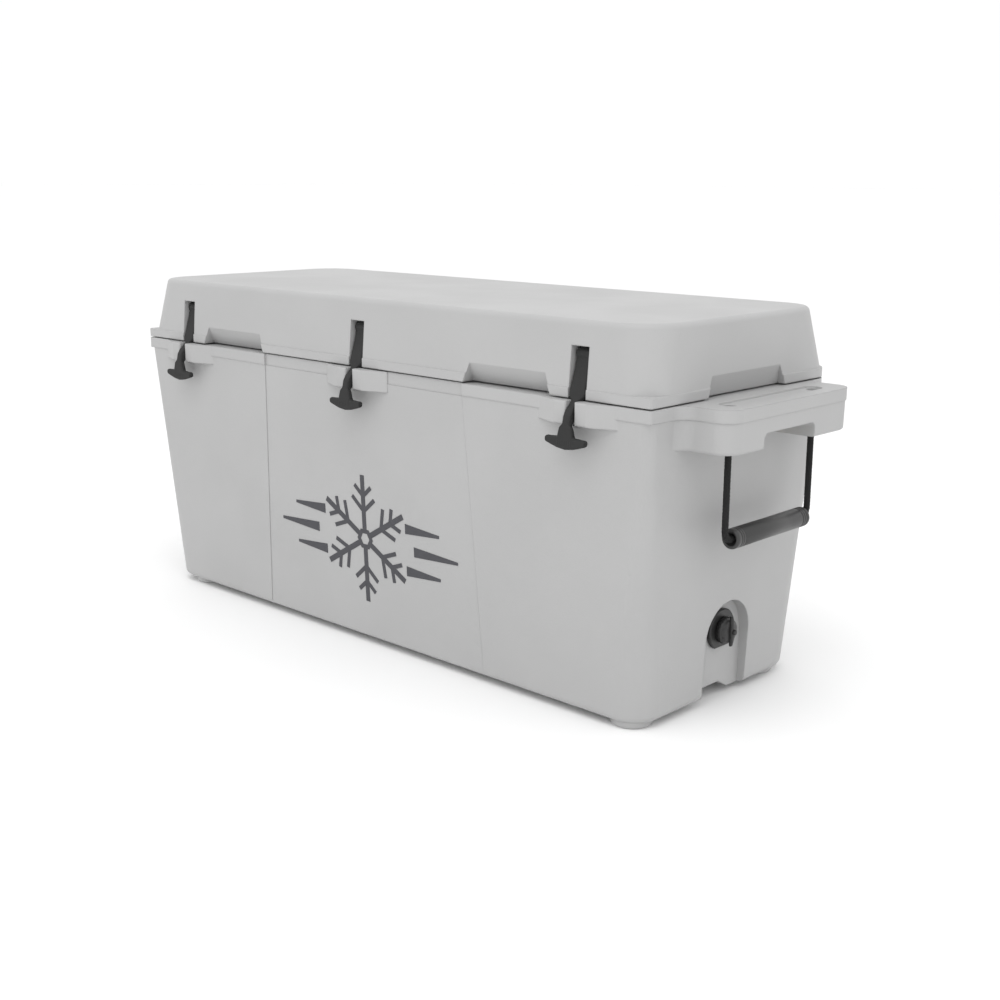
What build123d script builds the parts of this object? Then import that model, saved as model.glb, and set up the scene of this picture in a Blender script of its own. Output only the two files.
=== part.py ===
"""Rotomoulded cooler chest with a hinged lid, rubber T-latches and rope handles.

Frame: millimetres, +X along the length, +Y to the hinge side, +Z up. The origin
is on the floor plane, at the centre of the overall footprint.
"""

import os
from math import atan, cos, degrees, sin

from build123d import *

# Overall shape
LENGTH = 1000.0  # lid and rim, end to end
WIDTH = 384.0  # lid and rim, front to back
SEAM_Z = 398.5  # parting line between tub and lid
LID_RISE = 92.0  # seam to the top of the lid
BASE_Z = 8.5  # underside of the tub
SEAM_GAP = 1.0  # half of the gap at the seam
SKIN = 4.0  # moulded polyethylene skin
FRONT_CORNER = 4.0  # plan radius of the rim and lid flange in front
REAR_CORNER = 30.0  # the same behind

# Tub
RIM_DROP = 17.0  # depth of the rim band below the seam
RIM_STEP = 3.0  # set-back of the middle of the front rim
STEP_X = 202.0  # where the front rim steps back
STEP_FOOT_X = 226.0  # where that step line reaches the base
WALL_TOP_INSET = 1.2  # tub wall behind the rim, under the rim
WALL_BASE_INSET = 17.5  # tub wall behind the rim, at the base
WALL_TOP_RADIUS = 12.0
WALL_BASE_RADIUS = 40.0
WALL_REAR_EXTRA = 18.0  # larger corner radius of the wall behind
PANEL_DEPTH = 0.8
FOOT_R = 26.0
FOOT_XS = (-427.0, 447.0)
FOOT_YS = (-142.0, 120.0)
MOUTH_INSET = 44.0  # rim width around the mouth
FLOOR_INSET = 60.0
FLOOR_Z = 75.0
MOUTH_RADIUS = 38.0

# Handle lugs, moulded on both ends
LUG_REACH = 566.0
LUG_HALF = 134.0
LUG_SHIFT = 3.0  # lug's middle behind the chest's middle
LUG_DROP = 54.0
LUG_TAPER = 1.5
LUG_RADIUS = 24.0
LUG_ROOT_RADIUS = 20.0
ARCH_HALF = 55.0
ARCH_SHIFT = -5.0  # arch's middle in front of the chest's middle
ARCH_DROP = 35.0

# Rope handles
ROPE_X = 536.0
ROPE_Y = 90.0
ROPE_R = 4.4
ROPE_PIVOT_Z = SEAM_Z - 59.5
KNOT_R = 7.6
KNOT_WELL_R = 9.0
KNOT_WELL_DEPTH = 17.0
GRIP_Z = SEAM_Z - 162.5
GRIP_HALF = 79.0
GRIP_R = 12.5

# Lid
FLANGE_RISE = 13.0
LID_TOP_INSET = 8.0
LID_TOP_RADIUS = 58.0
LID_EDGE_RADIUS = 7.0
PLUG_INSET = 50.0
PLUG_DROP = 7.0
GASKET_INSET = 31.0
GASKET_WIDTH = 10.0
GASKET_DEPTH = 4.5
GASKET_CLEAR = 0.3
FINGER_RISE = 26.0
FINGER_IN_X = 204.0
FINGER_OUT_X = 351.0
FINGER_DEPTH = 20.0
END_FINGER_HALF = 83.0
END_FINGER_DEPTH = 12.0

# Hinge
HINGE_Y = 205.0
HINGE_R = 10.0
HINGE_PITCH = 88.0
HINGE_GAP = 1.0
HINGE_COUNT = 9
ROD_R = 4.0
RUN_FIT = 0.05

# Latches
LATCH_XS = {"left_latch": -392.0, "middle_latch": 0.0, "right_latch": 392.0}
PIVOT_Y = -174.5
PIVOT_Z = SEAM_Z + 52.0
HEAD_R = 8.0
STRAP_WIDTH = 24.0
NECK_WIDTH = 11.0
SLOT_WIDTH = 27.0
SLOT_TOP = 62.0
PIN_R = 2.5
PIN_LENGTH = 35.0
BULB_R = 8.5
TEE_BACK_Y = -206.0
TEE_FRONT_Y = -214.0
TEE_HALF = 30.0
KEEPER_Y = -204.5
KEEPER_DROP = 29.0
KEEPER_OUT = 24.0
KEEPER_RAMP = 62.0
NOTCH_HALF = 6.5
NOTCH_BACK_Y = -180.0

# Drain, in an arched channel on the right end
DRAIN_Z = 92.0
CHANNEL_HALF = 47.0
CHANNEL_SPRING_Z = 85.0
CHANNEL_X = 472.0
DRAIN_PIPE_R = 13.0
DRAIN_BORE_R = 9.0
FLANGE_R = 27.0
WASHER_THICK = 1.5
FLANGE_THICK = 5.0
SPOUT_REACH = 9.0
CAP_R = 17.5
NUT_THICK = 8.0

# Front emblem: a plain snowflake between tapered bars
EMBLEM_Z = 155.5
EMBLEM_R = 92.0
EMBLEM_THICK = 0.5

WALL_TOP_Z = SEAM_Z - RIM_DROP
LID_BASE_Z = SEAM_Z + SEAM_GAP
RIM_TOP_Z = SEAM_Z - SEAM_GAP
LID_TOP_Z = SEAM_Z + LID_RISE
WALL_ANGLE = atan((WALL_BASE_INSET - WALL_TOP_INSET) / (WALL_TOP_Z - BASE_Z))


def slab(length, width, radius, z):
    """Rounded rectangle, centred on the Z axis, at height z."""
    return Pos(0, 0, z) * RectangleRounded(length, width, radius)


def tapered(low, high):
    """Solid between two horizontal outlines."""
    return loft([low.face(), high.face()])


def prism_x(points, x_from, x_to):
    """Polygon of (y, z) points pushed along X."""
    outline = Plane.YZ.offset(x_from) * Polygon(*points, align=None)
    return extrude(outline, x_to - x_from, dir=(1, 0, 0))


def prism_y(points, y_from, y_to):
    """Polygon of (x, z) points pushed along Y."""
    outline = Plane.XZ.offset(-y_from) * Polygon(*points, align=None)
    return extrude(outline, y_to - y_from, dir=(0, 1, 0))


def rod_x(radius, x_from, x_to, y, z):
    """Cylinder along X."""
    middle = (x_from + x_to) / 2
    return Pos(middle, y, z) * Rot(0, 90, 0) * Cylinder(radius, abs(x_to - x_from))


def rod_z(radius, x, y, z_from, z_to):
    """Cylinder along Z."""
    return Pos(x, y, (z_from + z_to) / 2) * Cylinder(radius, abs(z_to - z_from))


def block(x_from, x_to, y_from, y_to, z_from, z_to):
    """Box between two corners."""
    size = (abs(x_to - x_from), abs(y_to - y_from), abs(z_to - z_from))
    centre = ((x_from + x_to) / 2, (y_from + y_to) / 2, (z_from + z_to) / 2)
    return Pos(*centre) * Box(*size)


def footprint(length, width, front, rear, z):
    """Rectangle at height z with one corner radius in front and another behind."""
    plan = Rectangle(length, width)
    plan = fillet(plan.vertices().group_by(Axis.Y)[0], front)
    return Pos(0, 0, z) * fillet(plan.vertices().group_by(Axis.Y)[-1], rear)


def wall_inset(z):
    """How far the drafted tub wall stands behind the rim at height z."""
    share = (WALL_TOP_Z - z) / (WALL_TOP_Z - BASE_Z)
    return WALL_TOP_INSET + share * (WALL_BASE_INSET - WALL_TOP_INSET)


def wall_radius(z):
    """Corner radius of the tub wall at height z, which grows towards the base."""
    share = (WALL_TOP_Z - z) / (WALL_TOP_Z - BASE_Z)
    return WALL_TOP_RADIUS + share * (WALL_BASE_RADIUS - WALL_TOP_RADIUS)


def wall_loft(extra, z_low, z_high):
    """Drafted outside of the tub, pulled in by extra."""

    def outline(z):
        inset = wall_inset(z) + extra
        front = max(wall_radius(z) - extra, 5.0)
        return footprint(
            LENGTH - 2 * inset, WIDTH - 2 * inset, front, front + WALL_REAR_EXTRA, z
        )

    return tapered(outline(z_low), outline(z_high))


def cavity(extra, z_low, z_high):
    """Inside of the tub, grown by extra, between two heights."""

    def outline(z):
        share = (RIM_TOP_Z - z) / (RIM_TOP_Z - FLOOR_Z)
        inset = MOUTH_INSET + share * (FLOOR_INSET - MOUTH_INSET) - extra
        return slab(LENGTH - 2 * inset, WIDTH - 2 * inset, MOUTH_RADIUS + extra, z)

    return tapered(outline(z_low), outline(z_high))


def rim_outline(z):
    """Plan of the rim and the lid's flange."""
    return footprint(LENGTH, WIDTH, FRONT_CORNER, REAR_CORNER, z)


# Tub ---------------------------------------------------------------------


def rim_and_lug_tops():
    """Rim band, with the tops of both handle lugs."""
    plan = rim_outline(0)
    for side in (-1, 1):
        middle = side * (LUG_REACH + LENGTH / 2 - 60) / 2
        plan += Pos(middle, LUG_SHIFT) * Rectangle(LUG_REACH - LENGTH / 2 + 60, 2 * LUG_HALF)
    corners = [v for v in plan.vertices() if abs(abs(v.X) - LUG_REACH) < 0.1]
    plan = fillet(corners, LUG_RADIUS)
    roots = [v for v in plan.vertices() if abs(abs(v.Y - LUG_SHIFT) - LUG_HALF) < 0.1]
    roots = [v for v in roots if abs(abs(v.X) - LENGTH / 2) < 0.1]
    plan = fillet(roots, LUG_ROOT_RADIUS)
    band = extrude(Pos(0, 0, WALL_TOP_Z) * plan, RIM_TOP_Z - WALL_TOP_Z)
    return chamfer(band.edges().group_by(Axis.Z)[0], 0.8)


def lug_block(side):
    """Lower part of one handle lug, flared softly into the end wall."""
    root = LENGTH / 2 - 60

    def outline(reach, half, z):
        wall = LENGTH / 2 - wall_inset(z) - 0.3
        foot = half + LUG_ROOT_RADIUS + 4
        points = [(root, -foot), (wall, -foot), (wall, -half), (reach, -half)]
        points += [(x, -y) for x, y in reversed(points)]
        shape = Polygon(*points, align=None)
        corners = [v for v in shape.vertices() if abs(v.X - reach) < 0.1]
        shape = fillet(corners, LUG_RADIUS)
        roots = [v for v in shape.vertices() if abs(v.X - wall) < 0.1]
        roots = [v for v in roots if abs(abs(v.Y) - half) < 0.1]
        shape = fillet(roots, LUG_ROOT_RADIUS)
        return Pos(0, LUG_SHIFT, z) * shape

    high = outline(LUG_REACH - 1.0, LUG_HALF - 1.0, WALL_TOP_Z + 1)
    low = outline(LUG_REACH - LUG_TAPER, LUG_HALF - LUG_TAPER, SEAM_Z - LUG_DROP)
    lug = tapered(low, high)
    lug = fillet(lug.edges().group_by(Axis.Z)[0], 4.0)
    return lug if side > 0 else mirror(lug, about=Plane.YZ)


def lug_cuts(side):
    """Arch, rope holes, knot wells and shallow dish of one lug."""
    foot = SEAM_Z - LUG_DROP - 1
    front = ARCH_SHIFT - ARCH_HALF
    rear = ARCH_SHIFT + ARCH_HALF
    arch = block(400, 600, front, rear, foot, SEAM_Z - ARCH_DROP)
    arch = fillet(arch.edges().filter_by(Axis.X).group_by(Axis.Z)[-1], 8.0)
    cuts = arch & block(490, 600, -80, 80, 0, SEAM_Z)
    dish = Pos(ROPE_X - 2, 0, RIM_TOP_Z - 2) * SlotOverall(2 * ROPE_Y + 24, 24, 90)
    cuts += extrude(dish, 8)
    for y in (-ROPE_Y, ROPE_Y):
        cuts += rod_z(ROPE_R + 0.75, ROPE_X, y, foot, SEAM_Z)
        cuts += rod_z(KNOT_WELL_R, ROPE_X, y, RIM_TOP_Z - KNOT_WELL_DEPTH, SEAM_Z + 2)
    return cuts if side > 0 else mirror(cuts, about=Plane.YZ)


def keepers(x):
    """Pair of ramped lumps that stand out of the front rim beside one latch."""
    pair = None
    foot = SEAM_Z - KEEPER_DROP
    for side in (-1, 1):
        points = [
            (x + side * NOTCH_HALF, -150),
            (x + side * NOTCH_HALF, KEEPER_Y),
            (x + side * KEEPER_OUT, KEEPER_Y),
            (x + side * KEEPER_RAMP, WALL_TOP_INSET + 0.6 - WIDTH / 2),
            (x + side * KEEPER_RAMP, -150),
        ]
        plan = Pos(0, 0, foot) * Polygon(*points, align=None)
        lump = extrude(plan, RIM_TOP_Z - foot, dir=(0, 0, 1))
        front = lump.faces().sort_by(Axis.Y)[0]
        lump = fillet(front.edges(), 2.5)
        pair = lump if pair is None else pair + lump
    return pair


def latch_notch(x):
    """Open notch through rim and keepers for the neck of one latch."""
    low = SEAM_Z - KEEPER_DROP - 3
    return block(x - NOTCH_HALF, x + NOTCH_HALF, -230, NOTCH_BACK_Y, low, SEAM_Z + 2)


def drain_channel(extra):
    """Arch-topped channel down the right end, grown by extra."""
    half = CHANNEL_HALF + extra
    low = BASE_Z - 20
    shape = Rectangle(2 * half, CHANNEL_SPRING_Z - low)
    shape = Pos(0, (CHANNEL_SPRING_Z + low) / 2) * shape
    shape += Pos(0, CHANNEL_SPRING_Z) * Circle(half)
    face = Plane.YZ.offset(CHANNEL_X - extra) * shape
    return extrude(face, 60)


def channel_foot_notch():
    """Low arch under the channel, where drained water runs out."""
    rise = 11.0
    half = CHANNEL_HALF - 1
    points = [
        (-half, BASE_Z - 5),
        (-half, BASE_Z + rise - 4),
        (-half + 5, BASE_Z + rise),
        (4, BASE_Z + rise),
        (half - 14, BASE_Z - 5),
    ]
    return prism_x(points, 440, 520)


def front_panel():
    """Shallow set-back in the middle of the front wall."""
    skin = wall_loft(0, BASE_Z, WALL_TOP_Z) - wall_loft(PANEL_DEPTH, BASE_Z, WALL_TOP_Z)
    front = prism_y(
        [
            (-STEP_FOOT_X, BASE_Z),
            (STEP_FOOT_X, BASE_Z),
            (STEP_X, WALL_TOP_Z),
            (-STEP_X, WALL_TOP_Z),
        ],
        -WIDTH,
        -WIDTH / 4,
    )
    return skin & front


def foot_pads():
    """Four round moulded feet."""
    pads = None
    for x in FOOT_XS:
        for y in FOOT_YS:
            pad = rod_z(FOOT_R, x, y, 0, BASE_Z + 8)
            pad = fillet(pad.edges().group_by(Axis.Z)[0], 3.0)
            pads = pad if pads is None else pads + pad
    return pads


def knuckle_spans(first):
    """X ranges of every other hinge knuckle, starting at index first."""
    start = -HINGE_PITCH * HINGE_COUNT / 2
    for i in range(first, HINGE_COUNT, 2):
        low = start + i * HINGE_PITCH + HINGE_GAP
        yield low, low + HINGE_PITCH - 2 * HINGE_GAP


def knuckle(span, web):
    """One hinge barrel with the web that joins it to its wall."""
    barrel = rod_x(HINGE_R, span[0], span[1], HINGE_Y, SEAM_Z)
    piece = barrel + prism_x(web, span[0], span[1])
    return piece - rod_x(ROD_R + RUN_FIT, span[0] - 1, span[1] + 1, HINGE_Y, SEAM_Z)


def tub_knuckles():
    """Knuckles on the back of the tub's rim."""
    web = [
        (WIDTH / 2 - 4, SEAM_Z - RIM_DROP + 1.5),
        (HINGE_Y, SEAM_Z - HINGE_R),
        (HINGE_Y, SEAM_Z - ROD_R - 3),
        (WIDTH / 2 - 4, SEAM_Z - ROD_R),
    ]
    return [knuckle(span, web) for span in knuckle_spans(0)]


def foam_zone():
    """Space between the skins of the tub."""
    zone = wall_loft(SKIN + PANEL_DEPTH, BASE_Z + SKIN, SEAM_Z - SKIN - 6)
    zone -= cavity(SKIN, FLOOR_Z - SKIN, SEAM_Z + 5)
    zone -= drain_channel(SKIN)
    zone -= rod_x(DRAIN_PIPE_R + SKIN, 400, 500, 0, DRAIN_Z)
    zone -= block(430, 520, -CHANNEL_HALF - 4, CHANNEL_HALF + 4, 0, BASE_Z + 11 + SKIN)
    for x in LATCH_XS.values():
        reach = NOTCH_HALF + SKIN
        zone -= block(x - reach, x + reach, -230, NOTCH_BACK_Y + SKIN, 300, SEAM_Z)
    return zone


def body_shell():
    """Moulded tub: skins, rim, lugs, keepers, hinge knuckles and feet."""
    wall = wall_loft(0, BASE_Z, RIM_TOP_Z - 4)
    wall = fillet(wall.edges().group_by(Axis.Z)[0], 9.0)
    wall -= front_panel()
    tub = wall + rim_and_lug_tops()
    for side in (-1, 1):
        tub += lug_block(side)
    front = -WIDTH / 2
    tub -= block(-STEP_X, STEP_X, front - 5, front + RIM_STEP, WALL_TOP_Z - 0.5, SEAM_Z + 5)
    for x in LATCH_XS.values():
        tub += keepers(x)
    for x in LATCH_XS.values():
        tub -= latch_notch(x)
    tub += foot_pads()
    for side in (-1, 1):
        tub -= lug_cuts(side)
    tub -= drain_channel(0)
    tub -= channel_foot_notch()
    tub -= cavity(0, FLOOR_Z, SEAM_Z + 5)
    tub -= rod_x(DRAIN_PIPE_R + 0.2, 400, 500, 0, DRAIN_Z)
    tub -= foam_zone()
    for piece in tub_knuckles():
        tub += piece
    return tub


# Lid ---------------------------------------------------------------------


def lid_upper(extra, z_low, z_high):
    """Drafted upper part of the lid, pulled in by extra."""

    def outline(z):
        share = (z - SEAM_Z) / LID_RISE
        inset = 0.3 + share * (LID_TOP_INSET - 0.3) + extra
        radius = 30.0 + share * (LID_TOP_RADIUS - 30.0) - extra
        return slab(LENGTH - 2 * inset, WIDTH - 2 * inset, radius, z)

    return tapered(outline(z_low), outline(z_high))


def ring(outer_inset, inner_inset, radius, z_low, z_high):
    """Rounded rectangular ring between two insets from the lid's outline."""
    outer = RectangleRounded(LENGTH - 2 * outer_inset, WIDTH - 2 * outer_inset, radius)
    step = inner_inset - outer_inset
    inner = RectangleRounded(LENGTH - 2 * inner_inset, WIDTH - 2 * inner_inset, radius - step)
    return extrude(Pos(0, 0, z_low) * (outer - inner), z_high - z_low)


def latch_slot(x, extra):
    """Slot in the lid's front face for one latch, grown by extra."""
    half = SLOT_WIDTH / 2 + extra
    front = -WIDTH / 2 - 10
    points = [
        (front, SEAM_Z - 5),
        (front, SEAM_Z + SLOT_TOP + extra),
        (-163 + extra, SEAM_Z + SLOT_TOP + extra),
        (-163 + extra, SEAM_Z + 40),
        (-180 + extra, SEAM_Z),
        (-180 + extra, SEAM_Z - 5),
    ]
    return prism_x(points, x - half, x + half)


def finger_pocket(inner, outer, depth, extra):
    """Sloped pocket in the lid's front lower edge, from X inner to outer."""
    lead = 4.0
    low_z = SEAM_Z - 1
    high_z = SEAM_Z + FINGER_RISE + extra
    face = -WIDTH / 2
    middle = (inner + outer) / 2
    span = outer - inner + 2 * extra
    low = Pos(middle, face - lead + (depth + lead + extra) / 2, low_z)
    high = Pos(middle, face - lead + (lead + 2.5 + extra) / 2, high_z)
    return tapered(
        low * Rectangle(span, depth + lead + extra),
        high * Rectangle(span - 22, lead + 2.5 + extra),
    )


def finger_pockets(extra):
    """Two pockets along the front and one at each end."""
    pockets = finger_pocket(FINGER_IN_X, FINGER_OUT_X, FINGER_DEPTH, extra)
    pockets += mirror(pockets, about=Plane.YZ)
    end = finger_pocket(-END_FINGER_HALF, END_FINGER_HALF, END_FINGER_DEPTH, extra)
    shift = (LENGTH - WIDTH) / 2
    pockets += Pos(shift, 0, 0) * (Rot(0, 0, 90) * end)
    pockets += Pos(-shift, 0, 0) * (Rot(0, 0, -90) * end)
    return pockets


def lid_foam_zone():
    """Space between the skins of the lid."""
    zone = lid_upper(SKIN + 1, SEAM_Z + 11, LID_TOP_Z - SKIN)
    zone -= finger_pockets(SKIN)
    for x in LATCH_XS.values():
        zone -= latch_slot(x, SKIN)
    return zone


def lid_knuckles():
    """Knuckles on the back edge of the lid."""
    web = [
        (WIDTH / 2 - 6, LID_BASE_Z + ROD_R),
        (HINGE_Y, SEAM_Z + ROD_R + 3),
        (HINGE_Y, SEAM_Z + HINGE_R),
        (WIDTH / 2 - 6, SEAM_Z + FLANGE_RISE - 1),
    ]
    return [knuckle(span, web) for span in knuckle_spans(1)]


def lid_shell():
    """Moulded lid: skins, flange, plug, gasket groove and hinge knuckles."""
    lid = lid_upper(0, SEAM_Z + 5, LID_TOP_Z)
    lid = fillet(lid.edges().group_by(Axis.Z)[-1], LID_EDGE_RADIUS)
    flange = extrude(rim_outline(LID_BASE_Z), FLANGE_RISE - SEAM_GAP)
    lid += chamfer(flange.edges().group_by(Axis.Z)[-1], 0.8)
    plug = slab(LENGTH - 2 * PLUG_INSET, WIDTH - 2 * PLUG_INSET, 32, SEAM_Z - PLUG_DROP)
    lid += extrude(plug, PLUG_DROP + 5)
    groove_top = LID_BASE_Z + GASKET_DEPTH
    lid -= ring(GASKET_INSET, GASKET_INSET + GASKET_WIDTH, 45, LID_BASE_Z - 1, groove_top)
    lid -= finger_pockets(0)
    for x in LATCH_XS.values():
        lid -= latch_slot(x, 0)
        lid -= rod_x(PIN_R + 0.02, x - PIN_LENGTH / 2, x + PIN_LENGTH / 2, PIVOT_Y, PIVOT_Z)
    lid -= lid_foam_zone()
    for piece in lid_knuckles():
        lid += piece
    return lid


def lid_gasket():
    """Soft seal in the lid's groove, just clear of the rim."""
    low = RIM_TOP_Z + GASKET_CLEAR
    high = LID_BASE_Z + GASKET_DEPTH
    return ring(GASKET_INSET + 0.2, GASKET_INSET + GASKET_WIDTH - 0.2, 44.8, low, high)


# Hinge rod ---------------------------------------------------------------


def hinge_rod():
    """Long rod through every knuckle."""
    half = HINGE_PITCH * HINGE_COUNT / 2 + 3
    return rod_x(ROD_R, -half, half, HINGE_Y, SEAM_Z)


def hinge_rod_caps():
    """Press-on caps that keep the rod from sliding out."""
    caps = []
    face = HINGE_PITCH * HINGE_COUNT / 2 - 0.5
    for side in (-1, 1):
        cap = rod_x(7.0, side * face, side * (face + 6.5), HINGE_Y, SEAM_Z)
        cap -= rod_x(ROD_R + 0.02, side * (face - 1), side * (face + 3.5), HINGE_Y, SEAM_Z)
        caps.append(cap)
    return Compound(children=caps)


# Latches -----------------------------------------------------------------


def latch(x):
    """Rubber T-latch: head, strap, neck with bulb, and finger tee."""
    half = STRAP_WIDTH / 2
    strap = prism_x(
        [
            (PIVOT_Y - HEAD_R + 1, PIVOT_Z - 3),
            (-181.0, SEAM_Z + 40),
            (-193.5, SEAM_Z + 3),
            (-184.0, SEAM_Z + 3),
            (-170.0, SEAM_Z + 42),
            (PIVOT_Y + HEAD_R - 2, PIVOT_Z - 3),
        ],
        x - half,
        x + half,
    )
    strap += rod_x(HEAD_R, x - half, x + half, PIVOT_Y, PIVOT_Z)
    neck = prism_x(
        [
            (-193.5, SEAM_Z + 4),
            (-201.0, SEAM_Z - 8),
            (TEE_FRONT_Y + 1, SEAM_Z - 24),
            (TEE_FRONT_Y + 1, SEAM_Z - 36),
            (TEE_BACK_Y, SEAM_Z - 36),
            (TEE_BACK_Y, SEAM_Z - 30),
            (-190.0, SEAM_Z - 8),
            (-184.0, SEAM_Z + 4),
        ],
        x - NECK_WIDTH / 2,
        x + NECK_WIDTH / 2,
    )
    bulb = rod_x(BULB_R, x - NECK_WIDTH / 2, x + NECK_WIDTH / 2, -204.0, SEAM_Z - 16)
    stem = block(x - 10, x + 10, TEE_BACK_Y, TEE_FRONT_Y + 1, SEAM_Z - 44, SEAM_Z - 31)
    tee = prism_y(
        [
            (x - TEE_HALF, SEAM_Z - 43.5),
            (x - 12, SEAM_Z - 40.5),
            (x + 12, SEAM_Z - 40.5),
            (x + TEE_HALF, SEAM_Z - 43.5),
            (x + TEE_HALF, SEAM_Z - 49.5),
            (x + 14, SEAM_Z - 55.5),
            (x, SEAM_Z - 57),
            (x - 14, SEAM_Z - 55.5),
            (x - TEE_HALF, SEAM_Z - 49.5),
        ],
        TEE_FRONT_Y,
        TEE_BACK_Y,
    )
    piece = strap + neck + bulb + stem + tee
    return piece - rod_x(PIN_R + RUN_FIT, x - half - 1, x + half + 1, PIVOT_Y, PIVOT_Z)


def latch_pins():
    """Steel pins that carry the latches, ends set in the lid."""
    half = PIN_LENGTH / 2
    pins = [rod_x(PIN_R, x - half, x + half, PIVOT_Y, PIVOT_Z) for x in LATCH_XS.values()]
    return Compound(children=pins)


# Rope handles ------------------------------------------------------------


def hanging_rope(side):
    """Moving part of one rope: down, through the grip and up again."""
    bend = ROPE_Y - GRIP_HALF
    top = (side * ROPE_X, -ROPE_Y, ROPE_PIVOT_Z)
    corner_a = (side * ROPE_X, -ROPE_Y, GRIP_Z)
    corner_b = (side * ROPE_X, ROPE_Y, GRIP_Z)
    end = (side * ROPE_X, ROPE_Y, ROPE_PIVOT_Z)
    path = FilletPolyline(top, corner_a, corner_b, end, radius=bend)
    section = Pos(*top) * Circle(ROPE_R)
    rope = sweep(section, path=path)
    for y in (-ROPE_Y, ROPE_Y):
        rope += Pos(side * ROPE_X, y, ROPE_PIVOT_Z) * Sphere(ROPE_R)
    return rope


def rope_knots(side):
    """Two rope ends that stay in the lug, each with a stopper knot."""
    ends = []
    for y in (-ROPE_Y, ROPE_Y):
        floor = RIM_TOP_Z - KNOT_WELL_DEPTH
        x = side * ROPE_X
        end = rod_z(ROPE_R, x, y, SEAM_Z - LUG_DROP, floor + 2)
        knot = rod_z(KNOT_R, x, y, floor, floor + 9)
        ends.append(end + fillet(knot.edges(), 3.0))
    return Compound(children=ends)


def grip(side):
    """Hard tube that the rope runs through."""
    tube = Rot(90, 0, 0) * Cylinder(GRIP_R, 2 * GRIP_HALF)
    tube = chamfer(tube.edges().filter_by(GeomType.CIRCLE), 2.5)
    tube -= Rot(90, 0, 0) * Cylinder(ROPE_R + 0.4, 2 * GRIP_HALF + 2)
    for end in (-1, 1):
        tube -= Pos(0, end * GRIP_HALF, 0) * Rot(90, 0, 0) * Cylinder(8.0, 16.0)
    return Pos(side * ROPE_X, 0, GRIP_Z) * tube


# Drain -------------------------------------------------------------------


def inner_wall_x(z):
    """X of the tub's inside end wall at height z."""
    share = (RIM_TOP_Z - z) / (RIM_TOP_Z - FLOOR_Z)
    return LENGTH / 2 - MOUTH_INSET - share * (FLOOR_INSET - MOUTH_INSET)


def drain_gasket():
    """Washer under the drain flange."""
    washer = rod_x(FLANGE_R - 3, CHANNEL_X, CHANNEL_X + WASHER_THICK, 0, DRAIN_Z)
    return washer - rod_x(DRAIN_PIPE_R + 0.2, 460, 490, 0, DRAIN_Z)


def drain_fitting():
    """Flange with a flat foot, outer spout and pipe through the wall."""
    flange_x = CHANNEL_X + WASHER_THICK
    flange = rod_x(FLANGE_R, flange_x, flange_x + FLANGE_THICK, 0, DRAIN_Z)
    flange -= block(460, 500, -40, 40, DRAIN_Z - 40, DRAIN_Z - FLANGE_R + 4)
    flange = chamfer(flange.faces().sort_by(Axis.X)[-1].edges(), 1.2)
    inner_end = inner_wall_x(DRAIN_Z) - NUT_THICK - 6
    outer_end = flange_x + FLANGE_THICK + SPOUT_REACH
    pipe = rod_x(DRAIN_PIPE_R, inner_end, outer_end, 0, DRAIN_Z)
    bore = rod_x(DRAIN_BORE_R, inner_end - 1, outer_end + 1, 0, DRAIN_Z)
    return flange + pipe - bore


def drain_nut():
    """Lock nut on the pipe, inside the tub."""
    face = inner_wall_x(DRAIN_Z) - 2.4
    hexagon = Plane.YZ.offset(face - NUT_THICK) * (Pos(0, DRAIN_Z) * RegularPolygon(19, 6))
    nut = extrude(hexagon, NUT_THICK)
    return nut - rod_x(DRAIN_PIPE_R + 0.1, face - 20, face + 20, 0, DRAIN_Z)


def drain_cap():
    """Screw cap with grip wings and a small centre boss."""
    base = CHANNEL_X + WASHER_THICK + FLANGE_THICK + 1.0
    tip = base + SPOUT_REACH + 4.0
    cap = rod_x(CAP_R, base, base + 7, 0, DRAIN_Z)
    cap += rod_x(CAP_R - 2.0, base, tip, 0, DRAIN_Z)
    cap = chamfer(cap.faces().sort_by(Axis.X)[-1].edges(), 1.5)
    wing = block(base + 6, tip + 4, -4, 4, DRAIN_Z - CAP_R - 2, DRAIN_Z + CAP_R + 2)
    wing = fillet(wing.edges().filter_by(Axis.Y), 4.0)
    cap += wing
    cap += rod_x(3.5, tip + 2, tip + 6.5, 0, DRAIN_Z)
    return cap - rod_x(DRAIN_PIPE_R + 0.3, base - 1, base + SPOUT_REACH + 0.6, 0, DRAIN_Z)


def drain_cap_seal():
    """Soft ring between the spout's end and the inside of the cap."""
    face = CHANNEL_X + WASHER_THICK + FLANGE_THICK + SPOUT_REACH + 0.3
    seal = rod_x(DRAIN_PIPE_R - 0.3, face, face + 1.3, 0, DRAIN_Z)
    return seal - rod_x(DRAIN_BORE_R + 0.5, face - 1, face + 3, 0, DRAIN_Z)


# Emblem ------------------------------------------------------------------


def snowflake():
    """Flat six-armed snowflake."""
    shape = RegularPolygon(16, 6) - RegularPolygon(9, 6)
    for i in range(6):
        arm = Pos(0, EMBLEM_R / 2 + 6) * Rectangle(8, EMBLEM_R - 12)
        for height, reach in ((40, 30), (62, 22)):
            for turn in (-50, 50):
                twig = Pos(0, reach / 2) * Rectangle(6, reach)
                arm += Pos(0, height) * Rot(0, 0, turn) * twig
        shape += Rot(0, 0, 60 * i) * arm
    return shape


def side_bars(side):
    """Three tapered bars beside the snowflake."""
    bars = []
    for y, start, end in ((30, 84, 150), (0, 100, 184), (-30, 84, 150)):
        points = [(start, y + 7), (end, y + 2), (end, y - 2), (start, y - 7)]
        bar = Polygon(*points, align=None)
        bars.append(bar if side > 0 else mirror(bar, about=Plane.YZ))
    return bars


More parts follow.
